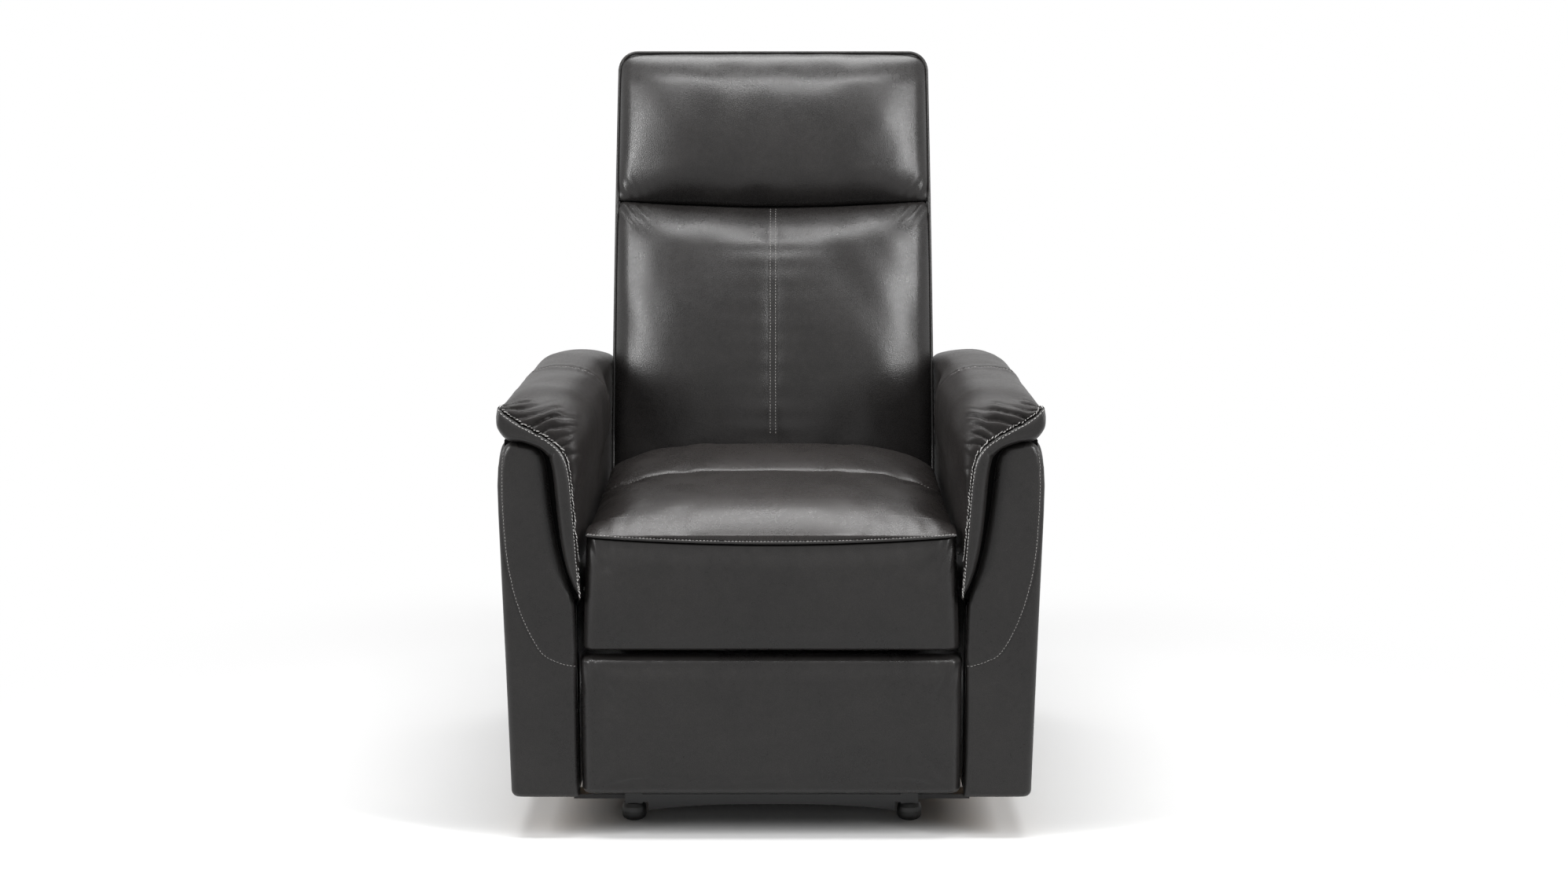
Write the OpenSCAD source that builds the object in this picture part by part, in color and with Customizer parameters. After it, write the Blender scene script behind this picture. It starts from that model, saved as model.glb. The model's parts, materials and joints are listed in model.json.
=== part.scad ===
// Cinema recliner seat: two padded arms on a steel base, a seat carried on
// swing links, a back hinged on the seat, and a footrest on a link mechanism.
// The front plane of the arms is y = 0 while the pieces are drawn, +Y runs to
// the rear and x = 0 is the middle. Pieces are drawn on the +X side and
// mirrored. The whole chair is then moved so that its footprint is centred.

/* [Seat] */
// Clear width between the two arms
seat_gap_w = 516; // [480:1:560]
// Height of the sewn front edge of the seat
seam_h = 416; // [400:1:430]
// Rise of the seat crown above the sewn front edge
seat_rise = 52; // [40:1:60]
// Depth of the seat cushion
seat_d = 490; // [470:1:494]
// Gap between the seat cushion and the inner face of each arm
seat_side_gap = 13.5; // [13:0.5:24]
// Height of the lower edge of the front border
border_h = 259; // [256:1:268]
// Thickness of the front border
border_t = 39; // [30:1:39]
// How far the front border bulges forward
border_bulge = 8; // [4:1:14]
// How much wider the front border is at its lower edge, on each side
border_flare = 7; // [3:1:8]

/* [Arms] */
// Width of an arm at the floor end
arm_w = 91; // [84:1:110]
// How far the outer face of an arm leans out towards the top
arm_flare = 7; // [2:1:12]
// Length of an arm
arm_len = 694; // [660:1:720]
// Height of the lower edge of the arms
arm_bottom = 58; // [50:1:64]
// Height of the crown of the arm pads
arm_top = 604; // [590:1:640]
// Height of the underside of the arm pads
pad_under = 558; // [550:1:570]
// Depth of the lip of the arm pad below its underside
pad_lip = 13; // [8:1:15]
// Lower end of the pad where it hangs down inside the arm
drape_low = 322; // [310:1:340]
// How far the pad stands in over the seat
pad_bulge = 17; // [8:1:22]
// Thickness of the cover and wadding inside the arm
cover_t = 4; // [3:0.5:6]
// Thickness of the padded front facing
facing_t = 14; // [10:1:18]
// Height of the rounded top of the front facing
facing_h = 541; // [530:1:542]
// Thickness of the boards of the arm box
arm_board_t = 12; // [9:1:15]

/* [Back] */
// Lean of the back from upright, at rest
back_lean = 16; // [13:0.5:18]
// Height of the back above its hinge, along its own slope
back_h = 738; // [700:1:780]
// Gap between the back and the inner face of each arm, at the hinge
back_side_gap = 12; // [11:0.5:16]
// How much narrower the back is at the top than at the hinge, on each side
back_taper = 5.5; // [2:0.5:14]
// Thickness of the back cushions in front of the frame
back_pad_t = 54; // [40:1:60]
// Depth of the outer back behind the hinge, low down
back_rear = 100; // [90:1:110]
// Depth of the outer back behind the hinge, at the top
back_rear_top = 88; // [80:1:100]
// Height of the crease between the two back cushions
crease_h = 500; // [470:1:530]
// How far the crease hangs down in its middle
crease_sag = 11; // [6:1:14]
// Wall of the outer back
shell_t = 8; // [6:0.5:10]
// Size of the timber posts of the back, front to rear
post_d = 40; // [34:1:46]

/* [Footrest] */
// Height of the lower edge of the footrest
foot_low = 60; // [56:1:66]
// Height of the footrest pad
foot_h = 193; // [180:1:194]
// Gap between the footrest pad and the inner face of each arm
foot_side_gap = 3; // [3:0.5:15]
// Thickness of the footrest pad
foot_pad_t = 38; // [32:1:38]
// How far the footrest pad bulges forward
foot_bulge = 7; // [3:1:12]
// Thickness of the footrest board
foot_board_t = 15; // [12:1:18]

/* [Base] */
// Distance from the centre of a base rail to the inner face of the arm
rail_side_gap = 68; // [68:1:78]
// Width of the base rails
rail_w = 24; // [20:1:24]
// Height of the base rails
rail_h = 32; // [26:1:34]
// Wall of the base rails
rail_wall = 2; // [1.5:0.5:3]
// Front end of the base rails
rail_front = 84; // [80:1:90]
// Distance from the rear end of the base rails to the rear of the arms
rail_rear_gap = 50; // [20:1:70]
// Height of the rubber feet
foot_glide_h = 24; // [20:1:28]
// Width of the rubber feet
foot_glide_d = 34; // [28:1:38]

/* [Mechanism] */
// Thickness of the links and plates
steel_t = 3; // [2.5:0.5:3]
// Gap between neighbouring layers of the mechanism
layer_gap = 0.3; // [0.2:0.05:0.4]
// Width of the links
link_w = 20; // [16:1:20]
// Diameter of the rivets
rivet_d = 8; // [7:0.5:9]
// Diameter of the rivet heads
rivet_head_d = 15; // [13:0.5:16]
// Thickness of the rivet heads, as a share of a layer, where two heads pass each other
rivet_head_share = 0.45; // [0.4:0.01:0.47]
// Radial clearance of a rivet in a link
run_clear = 0.05; // [0.03:0.01:0.1]
// Length of the swing links that carry the seat
swing_len = 130; // [126:1:134]
// Lean of the swing links to the rear, at rest
swing_lean = 30; // [28:1:32]
// Height of the lower pivots of the swing links
swing_pivot_h = 92; // [90:1:96]
// Place of the lower pivot of the front swing link
front_swing_y = 253; // [250:1:258]
// Place of the lower pivot of the rear swing link
rear_swing_y = 436; // [428:1:440]
// Place of the hinge of the back
hinge_y = 545; // [543:1:550]
// Height of the hinge of the back
hinge_h = 330; // [326:1:334]
// Place of the upper pivot of the drive link
drive_y = 205; // [203:1:207]
// Height of the upper pivot of the drive link
drive_h = 273; // [271:1:274]
// Length of the drive link between its pivots
drive_len = 205; // [203:1:207]
// Lean of the drive link from upright, at rest
drive_lean = 20; // [18:0.5:21]
// Place of the upper pivot of the footrest bracket
toe_y = 75; // [74:1:78]
// Height of the upper pivot of the footrest bracket
toe_h = 234; // [232:1:235]
// Distance between the pivots of the guide link and the drive link
guide_gap = 50; // [48:1:51]
// Distance between the two pivots of the footrest bracket
toe_gap = 40; // [38:1:41]

/* [Hidden] */
$fn = 64;
// Overrun of a cut past the face that it cuts
cut = 1;
// Gap between a soft piece and its neighbour
soft_gap = 0.4;
// Steps along the rounded end of a link
end_steps = 14;
// Height of a ring's middle point over its floor, where the end of a form is closed
fan_in = 2;

// Widths that follow the gap between the arms
seat_w = seat_gap_w - 2 * seat_side_gap;
foot_w = seat_gap_w - 2 * foot_side_gap;
back_w_low = seat_gap_w - 2 * back_side_gap;
back_w_top = back_w_low - 2 * back_taper;
rail_x = seat_gap_w / 2 - rail_side_gap;
rail_len = arm_len - rail_front - rail_rear_gap;
rivet_head_t = rivet_head_share * (steel_t + layer_gap);

// Layers of the mechanism, counted outwards from the base rail
ear_x = rail_x + rail_w / 2;
swing_x = ear_x + steel_t + layer_gap;
plate_x = swing_x + steel_t + layer_gap;
layer_a = plate_x + steel_t + layer_gap;
layer_b = layer_a + steel_t + layer_gap;

// Turns a [y, z] pair so that what is above moves to the rear
function turn(p, a) = [p[0] * cos(a) + p[1] * sin(a), p[1] * cos(a) - p[0] * sin(a)];
function along(r, a) = [r * cos(a), r * sin(a)];
// Point of an outline, from shares of a size counted from a low corner
function spread(low, size, s) = [low[0] + size[0] * s[0], low[1] + size[1] * s[1]];
function sgn_pow(v, p) = sign(v) * pow(abs(v), p);

// Pivots of the mechanism, as [y, z]
swing_top = [swing_len * sin(swing_lean), swing_len * cos(swing_lean)];
front_swing_low = [front_swing_y, swing_pivot_h];
rear_swing_low = [rear_swing_y, swing_pivot_h];
front_swing_high = front_swing_low + swing_top;
rear_swing_high = rear_swing_low + swing_top;
hinge = [hinge_y, hinge_h];
drive_high = [drive_y, drive_h];
drive_dir = along(1, drive_lean - 90);
drive_low = drive_high + drive_len * drive_dir;
toe_high = [toe_y, toe_h];
cross_dir = (toe_high - drive_low) / norm(toe_high - drive_low);
guide_low = drive_low - guide_gap * cross_dir;
guide_high = drive_high - guide_gap * cross_dir;
top_low = drive_low + toe_gap * drive_dir;
toe_low = toe_high + toe_gap * drive_dir;

// Heights of the seat box
seat_box_low = 290;
seat_box_t = 45;
seat_box_top = seat_box_low + seat_box_t;
spring_t = 3.5;
cushion_low = seat_box_top + spring_t + soft_gap;

// Rearmost point of the leaning back, which ends the chair
shell_round = 40;
shell_corner = [back_rear_top - shell_round, back_h - shell_round];
rear_y = hinge_y + shell_corner[0] * cos(back_lean) + shell_corner[1] * sin(back_lean)
    + shell_round;
// How far the arm pads stand out past the front facings
pad_end = 6;
front_y = -max(border_bulge, foot_bulge, pad_end);
depth_mid = (front_y + rear_y) / 2;

// A [y, z] outline as a plate that starts at x0
module side_plate(x0, t) {
    translate([x0, 0, 0]) rotate([90, 0, 90]) linear_extrude(t) children();
}
// An [x, z] outline as a plate that starts at y0
module front_plate(y0, t) {
    translate([0, y0 + t, 0]) rotate([90, 0, 0]) linear_extrude(t) children();
}
module placed() {
    translate([0, -depth_mid, 0]) children();
}
module left() {
    placed() mirror([1, 0, 0]) children();
}
module right() {
    placed() children();
}
module both() {
    placed() {
        children();
        mirror([1, 0, 0]) children();
    }
}
// Box from its low corner and its size
module block(low, size) {
    translate(low) cube(size);
}
// Straight bar outline with round ends about the points p and q
module bar2d(p, q, w) {
    a = atan2(q[1] - p[1], q[0] - p[0]);
    polygon(concat(
        [for (i = [0:end_steps]) q + along(w / 2, a + 90 * (2 * i / end_steps - 1))],
        [for (i = [0:end_steps]) p - along(w / 2, a + 90 * (2 * i / end_steps - 1))]
    ));
}
module bore2d(p) {
    translate(p) circle(d = rivet_d + 2 * run_clear);
}
module link(p, q, x0) {
    side_plate(x0, steel_t) difference() {
        bar2d(p, q, link_w);
        bore2d(p);
        bore2d(q);
    }
}
// Rod along x at the [y, z] point p
module rod(p, x0, x1, d) {
    translate([x0, p[0], p[1]]) rotate([0, 90, 0]) cylinder(h = x1 - x0, d = d);
}
// Rivet through the plates from x0 to x1, with room for the outer one to turn
module rivet(p, x0, x1) {
    rod(p, x0 - rivet_head_t, x0, rivet_head_d);
    rod(p, x0, x1 + layer_gap, rivet_d);
    rod(p, x1 + layer_gap, x1 + layer_gap + rivet_head_t, rivet_head_d);
}
// Closed form through rings of points, with a fan at each end
module soft_form(rings, first, last) {
    n = len(rings[0]);
    m = len(rings);
    points = concat([for (r = rings) each r], [first, last]);
    faces = concat(
        [for (i = [0:m - 2], j = [0:n - 1])
            [i * n + j, (i + 1) * n + (j + 1) % n, i * n + (j + 1) % n]],
        [for (i = [0:m - 2], j = [0:n - 1])
            [i * n + j, (i + 1) * n + j, (i + 1) * n + (j + 1) % n]],
        [for (j = [0:n - 1]) [m * n, j, (j + 1) % n]],
        [for (j = [0:n - 1]) [m * n + 1, (m - 1) * n + (j + 1) % n, (m - 1) * n + j]]
    );
    polyhedron(points, faces, convexity = 6);
}

// Base
module base_rail() {
    ear_d = link_w + 2 * rail_h / 5;
    color("dimgray") {
        difference() {
            block([rail_x - rail_w / 2, rail_front, foot_glide_h], [rail_w, rail_len, rail_h]);
            block(
                [rail_x - rail_w / 2 + rail_wall, rail_front + rail_wall, foot_glide_h + rail_wall],
                [rail_w - 2 * rail_wall, rail_len - 2 * rail_wall, rail_h - 2 * rail_wall]
            );
        }
        side_plate(ear_x, steel_t) for (p = [front_swing_low, rear_swing_low])
            difference() {
                union() {
                    bar2d(p, p, ear_d);
                    polygon([
                        [p[0] - ear_d, foot_glide_h + rail_wall],
                        [p[0] + ear_d, foot_glide_h + rail_wall],
                        [p[0] + ear_d / 2, p[1]],
                        [p[0] - ear_d / 2, p[1]]
                    ]);
                }
                bore2d(p);
            }
    }
}
// Front cross bar, arched underneath from foot to foot, its ends on the rails
bar_h = 11;
bar_d = 24;
bar_low = 14;
bar_rise = 9;
bar_foot_gap = 3;
bar_steps = 24;
module front_cross_bar() {
    half = rail_x - rail_w / 2;
    inner = rail_x - foot_glide_d / 2 - bar_foot_gap;
    low = foot_glide_h + rail_wall;
    bow = [for (i = [0:bar_steps]) let (s = 2 * i / bar_steps - 1)
        [inner * s, bar_low + bar_rise * (1 - pow(abs(s), 3))]];
    color("black") placed() front_plate(rail_front, bar_d) polygon(concat(bow, [
        [inner, low],
        [half, low],
        [half, low + bar_h],
        [-half, low + bar_h],
        [-half, low],
        [-inner, low]
    ]));
}
rear_tube_d = 22;
module rear_cross_tube() {
    half = rail_x - rail_w / 2;
    p = [rail_front + rail_len - 2 * rear_tube_d, foot_glide_h + rail_h / 2];
    color("black") placed() difference() {
        rod(p, -half, half, rear_tube_d);
        rod(p, -half - cut, half + cut, rear_tube_d - 2 * rail_wall);
    }
}
// Rubber feet, rounded at the floor
foot_round = 8;
foot_inset = 10;
module feet() {
    r = foot_glide_d / 2;
    color("black") both() for (y = [rail_front + foot_inset, rail_front + rail_len - r])
        translate([rail_x, y, 0]) rotate_extrude() polygon(concat(
            [[0, 0]],
            [for (a = [0:15:90])
                [r - foot_round + foot_round * sin(a), foot_round * (1 - cos(a))]],
            [[r, foot_glide_h * 0.55], [r * 0.95, foot_glide_h * 0.8], [r * 0.8, foot_glide_h],
                [0, foot_glide_h]]
        ));
}
// Steel brackets that carry the arms from the base rails
bracket_front_in = 22;
bracket_rear_in = 100;
bracket_y = [rail_front + bracket_front_in, arm_len - bracket_rear_in];
bracket_w = 34;
bracket_t = 6;
arm_bolt_d = 8;
arm_bolt_l = 22;
arm_head_d = 14;
arm_head_t = 4;
arm_in = seat_gap_w / 2;
core_in = arm_in + cover_t + layer_gap;
core_low = arm_bottom + 2 * cover_t;
bracket_leg = core_in + 2 * bracket_t;
bracket_end = bracket_leg + 8 * bracket_t;
arm_bolt_x = (bracket_leg + bracket_end) / 2;
module arm_bracket(y) {
    low = foot_glide_h;
    difference() {
        front_plate(y, bracket_w) polygon([
            [ear_x, low], [bracket_leg, low], [bracket_leg, core_low - bracket_t],
            [bracket_end, core_low - bracket_t], [bracket_end, core_low],
            [bracket_leg - bracket_t, core_low], [bracket_leg - bracket_t, low + bracket_t],
            [ear_x, low + bracket_t]
        ]);
        translate([arm_bolt_x, y + bracket_w / 2, core_low - bracket_t - cut])
            cylinder(h = bracket_t + 2 * cut, d = arm_bolt_d + 2 * run_clear);
    }
}
module arm_brackets() {
    color("dimgray") both() for (y = bracket_y) arm_bracket(y);
}
module arm_bolts() {
    color("silver") both() for (y = bracket_y)
        translate([arm_bolt_x, y + bracket_w / 2, core_low - bracket_t - arm_head_t]) {
            cylinder(h = arm_head_t, d = arm_head_d, $fn = 6);
            cylinder(h = arm_head_t + arm_bolt_l, d = arm_bolt_d);
        }
}
module swing_rivets() {
    color("silver") both() for (p = [front_swing_low, rear_swing_low])
        rivet(p, ear_x, swing_x + steel_t);
}

// Board across the rear, between the inner boards of the arms
skirt_top = 236;
skirt_inset = 26;
module rear_skirt() {
    half = core_in - layer_gap - cover_t;
    color("#343232") placed() block(
        [-half, arm_len - skirt_inset - arm_board_t, arm_bottom + cover_t],
        [2 * half, arm_board_t, skirt_top - arm_bottom - cover_t]
    );
}

// Arms
arm_out = arm_in + arm_w;
arm_out_top = arm_out + arm_flare;
// Padding outside and behind the timber box, and length of the block behind the facing
side_pad_t = 7;
rear_pad_t = 10;
// Room between the box and the rear wall of its cover
rear_step = 3;
nose_l = 20;
nose_in_share = 0.45;
core_out = arm_out - side_pad_t;
core_front = facing_t + nose_l;
core_rear = arm_len - rear_pad_t;
core_top = pad_under - cover_t / 2;
module arm_frame() {
    l = core_rear - core_front;
    h = core_top - core_low;
    inner = core_in + arm_board_t;
    outer = core_out - arm_board_t;
    nose_in = arm_in + arm_w * nose_in_share;
    nose_y = facing_t + layer_gap;
    color("burlywood") difference() {
        union() {
            block([core_in, core_front, core_low], [arm_board_t, l, h]);
            block([outer, core_front, core_low], [arm_board_t, l, h]);
            block([inner, core_front, core_low], [outer - inner, l, arm_board_t]);
            block([inner, core_front, core_top - arm_board_t], [outer - inner, l, arm_board_t]);
            block([inner, core_front, core_low], [outer - inner, arm_board_t, h]);
            block([inner, core_rear - arm_board_t, core_low], [outer - inner, arm_board_t, h]);
            block([nose_in, nose_y, core_low],
                [core_out - nose_in, core_front - nose_y, facing_h - core_low - 2 * cover_t]);
        }
        for (y = bracket_y) translate([arm_bolt_x, y + bracket_w / 2, core_low - cut])
            cylinder(h = arm_bolt_l - bracket_t + 2 * cut, d = arm_bolt_d + 2 * run_clear);
    }
}
// Padded cover of the outside and the rear of an arm
cover_round = 12;
// Overrun of the rounded corner past the flat side
corner_over = 0.001;
// Height at which the side stops leaning out
flare_high_share = 0.87;
module arm_outer_cover() {
    x0 = core_out + layer_gap;
    h = facing_h - arm_bottom;
    color("#3a3838") difference() {
        intersection() {
            front_plate(facing_t + layer_gap, arm_len - facing_t - layer_gap) polygon([
                [arm_in, arm_bottom], [arm_out, arm_bottom],
                [arm_out_top, arm_bottom + flare_high_share * h], [arm_out_top, arm_bottom + h],
                [arm_in, arm_bottom + h]
            ]);
            translate([0, 0, arm_bottom - cut]) linear_extrude(h + 2 * cut) polygon(concat(
                [[arm_in, facing_t], [arm_out_top + cut, facing_t]],
                [for (a = [0:10:90]) [arm_out_top - cover_round + (cover_round + corner_over) * cos(a),
                    arm_len - cover_round + cover_round * sin(a)]],
                [[arm_in, arm_len]]
            ));
        }
        block([arm_in - cut, facing_t - cut, arm_bottom - cut],
            [x0 - arm_in + cut, core_rear + rear_step - facing_t + cut, h + 3 * cut]);
    }
}
module arm_inner_cover() {
    color("#3a3838") block([arm_in, core_front, arm_bottom + cover_t / 2],
        [cover_t, core_rear - core_front, drape_low - arm_bottom - cover_t]);
}
// Outline of the front facing, as shares of the arm's width and height
facing_shares = [
    [0.93, 0], [0.955, 0.376], [0.99, 0.8125], [0.997, 0.914], [0.985, 0.963], [0.93, 0.989],
    [0.86, 0.998], [0.786, 1], [0.68, 0.998], [0.5765, 0.991], [0.48, 0.98], [0.42, 0.963],
    [0.385, 0.94], [0.373, 0.92], [0.345, 0.86], [0.32, 0.8125], [0.235, 0.703], [0.165, 0.645],
    [0.102, 0.606], [0.045, 0.572], [0.025, 0.545], [0.012, 0.5], [0.004, 0]
];
module arm_front_panel() {
    color("#3a3838") front_plate(0, facing_t) polygon([for (s = facing_shares)
        spread([arm_in, arm_bottom], [arm_w + arm_flare, facing_h - arm_bottom], s)]);
}
// Section of the arm pad: [across, up, bulge], then [across, up] where the end differs,
// as shares of the pad's width and height and of its bulge
pad_shares = [
    [0.905, 0.791, 0], [0.981, 0.819, 0], [1, 0.869, 0], [0.971, 0.929, 0], [0.867, 0.972, 0],
    [0.695, 0.994, 0], [0.467, 1, 0], [0.257, 0.992, 0], [0.086, 0.965, 0.05], [0, 0.915, 0.5],
    [0, 0.844, 0.92], [0, 0.759, 1], [0, 0.667, 0.9], [0, 0.567, 0.45], [0, 0.468, 0.08],
    [0.005, 0.348, 0], [0.02, 0.206, 0], [0.045, 0.082, 0], [0.06, 0, 0]
];
strip_shares = [[0.078, 0.014], [0.12, 0.2], [0.165, 0.461], [0.215, 0.645], [0.34, 0.797]];
tuck_shares = [0.75, 0.82];
star_share = [0.052, 0.897];
pad_round = 34;
// Cross seam of the pad: its place and depth
seam_y = 295;
seam_dip = 3;
// How far the pad stands in past the inner face of the arm, away from its bulge
pad_over = 7;
pad_in = arm_in - pad_over;
// Spacing of the rings beside an edge or a seam of the pad
pad_step = 3;
// Height of the underside at the two ends, the rise of its lip and the step of its tuck
under_share = 0.797;
lip_share = 0.006;
tuck_step_share = 0.002;
// Height above which the pad follows the fall of the crown
crown_from_share = 0.8;
// Stations along the pad: distance from the front, and the share of the full section
pad_stations = [
    [-pad_end, 0.93], [-pad_end / 2, 0.965], [pad_end / 3, 0.985], [pad_end * 2, 1],
    [core_front - pad_step, 1], [core_front - pad_step / 3, 1], [core_front * 2, 1],
    [core_front * 4, 1], [arm_len * 0.33, 1], [seam_y - 2 * pad_end, 1], [seam_y - pad_step, 1],
    [seam_y, 1], [seam_y + pad_step, 1], [seam_y + 2 * pad_end, 1], [arm_len * 0.47, 1],
    [arm_len * 0.57, 1], [arm_len * 0.66, 1], [arm_len * 0.8, 1], [core_rear - pad_round / 2, 1],
    [core_rear + soft_gap, 1], [core_rear + rear_step - soft_gap, 0.985],
    [arm_len - pad_step, 0.97], [arm_len, 0.92]
];
// Share of the bulge over the seat, which ends before the back can reach it
bulge_in_shares = [[0, 0.25], [0.06, 0.6], [0.14, 1], [0.47, 1], [0.57, 0.05], [1, 0]];
// Share of the crown's rise along the pad, which falls at its front end and towards the rear
crown_end_shares = [
    [-0.01, 0.775], [0, 0.84], [0.02, 0.925], [0.05, 0.975], [0.1, 1], [0.66, 1], [0.74, 0.93],
    [0.82, 0.84], [0.9, 0.74], [0.96, 0.66], [1, 0.55]
];
// Height in the pad, as a share, at the distance y from the front
function pad_share(q, y) = q > crown_from_share
    ? crown_from_share + (q - crown_from_share) * lookup(y / arm_len, crown_end_shares) : q;
function pad_ring(y, s) =
    let (w = arm_out_top - pad_in,
        h = arm_top - drape_low,
        front = y <= core_front - pad_step,
        rear = y > core_rear + rear_step / 2,
        ends = front || rear,
        strip_x = (rear ? arm_in : core_in) - soft_gap,
        under = (ends ? under_share * h : pad_under - drape_low),
        lip = ends ? under - lip_share * h : pad_under - pad_lip - drape_low,
        star = [pad_in + star_share[0] * w, drape_low + pad_share(star_share[1], y) * h],
        dip = seam_dip * max(0, 1 - abs(y - seam_y) / (2 * pad_end)),
        bulge = pad_bulge * lookup(y / arm_len, bulge_in_shares),
        main = [for (i = [0:len(pad_shares) - 1]) let (q = pad_shares[i])
            [pad_in + q[0] * w - bulge * q[2] - (i > 0 && i < 4 ? dip / 2 : 0),
                drape_low + (i == 0 ? lip : pad_share(q[1], y) * h)
                    - (i > 3 && i < 9 ? dip : 0)]],
        strip = [for (i = [0:4]) let (q = strip_shares[i])
            [front ? pad_in + q[0] * w : strip_x - (i == 0 ? soft_gap : 0),
                drape_low + (i == 4 ? under : q[1] * h)]],
        tuck = [for (i = [0:1])
            [ends ? pad_in + tuck_shares[i] * w : core_out + layer_gap + (i + 1) * soft_gap,
                drape_low + (ends ? under - (i + 1) * tuck_step_share * h
                    : (i == 0 ? under : lip + 2 * soft_gap))]])
    [for (p = concat(main, strip, tuck))
        [star[0] + s * (p[0] - star[0]), y, star[1] + s * (p[1] - star[1])]];
function pad_star(y) = [pad_in + star_share[0] * (arm_out_top - pad_in), y,
    drape_low + pad_share(star_share[1], y) * (arm_top - drape_low)];
module arm_pad() {
    color("#403d3d") soft_form([for (p = pad_stations) pad_ring(p[0], p[1])],
        pad_star(-pad_end), pad_star(arm_len));
}

// Seat carrier
module front_swing_link() {
    color("dimgray") link(front_swing_low, front_swing_high, swing_x);
}
module rear_swing_link() {
    color("dimgray") link(rear_swing_low, rear_swing_high, swing_x);
}
plate_w = 28;
plate_rise = 2;
plate_line = drive_h + plate_rise;
// Widths of the plate about the guide pivot, the swing pivots and the hinge
guide_lobe_w = 26;
swing_lobe_w = 30;
hinge_lobe_w = 36;
flange_w = 24;
// Gap between the border and the box, and reach of the box behind the cushion
box_gap = 3;
box_over = 8;
seat_box_front = border_t + box_gap;
seat_box_rear = seat_d + box_over;
flange_y = drive_y + plate_w;
flange_l = seat_box_rear - flange_y - plate_w;
seat_bolt_shares = [0.15, 0.5, 0.85];
seat_bolt_y = [for (s = seat_bolt_shares) flange_y + s * flange_l];
seat_bolt_x = plate_x - flange_w / 2;
module seat_plate() {
    end = [seat_box_rear, plate_line];
    color("dimgray") {
        side_plate(plate_x, steel_t) difference() {
            union() {
                bar2d(drive_high, end, plate_w);
                bar2d(guide_high, [guide_high[0] + plate_w / 4, plate_line], guide_lobe_w);
                bar2d(front_swing_high, [front_swing_high[0], plate_line], swing_lobe_w);
                bar2d(rear_swing_high, [rear_swing_high[0] - plate_w / 2, plate_line],
                    swing_lobe_w);
                bar2d(end, hinge, hinge_lobe_w);
            }
            for (p = [drive_high, guide_high, front_swing_high, rear_swing_high, hinge]) bore2d(p);
        }
        difference() {
            block([plate_x - flange_w, flange_y, seat_box_low - steel_t],
                [flange_w + steel_t, flange_l, steel_t]);
            for (y = seat_bolt_y) translate([seat_bolt_x, y, seat_box_low - steel_t - cut])
                cylinder(h = steel_t + 2 * cut, d = arm_bolt_d + 2 * run_clear);
        }
    }
}
seat_tube_d = 18;
seat_tube_drop = 4;
module seat_cross_tubes() {
    color("black") placed() for (y = [guide_high[0] + 2 * plate_w, seat_box_rear - plate_w])
        difference() {
            rod([y, plate_line - seat_tube_drop], -plate_x, plate_x, seat_tube_d);
            rod([y, plate_line - seat_tube_drop], -plate_x - cut, plate_x + cut,
                seat_tube_d - 2 * rail_wall);
        }
}
side_rail_t = 24;
box_half = plate_x + side_rail_t;
module seat_front_rail() {
    color("burlywood") placed()
        block([-box_half, seat_box_front, seat_box_low], [2 * box_half, side_rail_t, seat_box_t]);
}
module seat_rear_rail() {
    color("burlywood") placed()
        block([-plate_x, seat_box_rear - side_rail_t, seat_box_low],
            [2 * plate_x, side_rail_t, seat_box_t]);
}
module seat_side_rails() {
    y0 = seat_box_front + side_rail_t;
    color("burlywood") both() difference() {
        block([plate_x - side_rail_t, y0, seat_box_low],
            [side_rail_t, seat_box_rear - side_rail_t - y0, seat_box_t]);
        for (y = seat_bolt_y) translate([seat_bolt_x, y, seat_box_low - cut])
            cylinder(h = arm_bolt_l + cut, d = arm_bolt_d + 2 * run_clear);
    }
}
module seat_bolts() {
    color("silver") both() for (y = seat_bolt_y)
        translate([seat_bolt_x, y, seat_box_low - steel_t - arm_head_t]) {
            cylinder(h = arm_head_t, d = arm_head_d, $fn = 6);
            cylinder(h = arm_head_t + arm_bolt_l - 2 * steel_t, d = arm_bolt_d);
        }
}
// Sinuous springs from the front rail to the rear rail
spring_count = 5;
spring_pitch = 2 * (plate_x - side_rail_t) / spring_count;
spring_reach = 24;
spring_waves = 8;
spring_steps = 10;
spring_end = 4;
module seat_springs() {
    y0 = seat_box_front + spring_end;
    l = seat_box_rear - spring_end - y0;
    n = spring_waves * spring_steps;
    // Point i of one edge of the wire, half the wire's width to one side of a sine wave
    function wave(i, side) =
        let (a = 360 * i / spring_steps,
            dx = spring_reach * 2 * PI / spring_steps * cos(a),
            dy = l / n,
            off = side * spring_t / 2 / norm([dx, dy]))
        [spring_reach * sin(a) + off * dy, y0 + l * i / n - off * dx];
    color("silver") placed() for (k = [0:spring_count - 1])
        translate([(k - (spring_count - 1) / 2) * spring_pitch, 0, seat_box_top])
            linear_extrude(spring_t)
                polygon(concat([for (i = [0:n]) wave(i, 1)], [for (i = [0:n]) wave(n - i, -1)]));
}
dust_t = 1.2;
dust_in = 2;
module seat_dust_cover() {
    half = plate_x - flange_w - 2 * layer_gap;
    color("#222222") placed() block([-half, seat_box_front + dust_in, seat_box_low - dust_t],
        [2 * half, seat_box_rear - seat_box_front - 2 * dust_in, dust_t]);
}
// Height of the sewn front edge, which dips in the middle
seam_drop = 7;
function seam_z(x) = seam_h - seam_drop * (1 - pow(2 * x / seat_w, 2));
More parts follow.
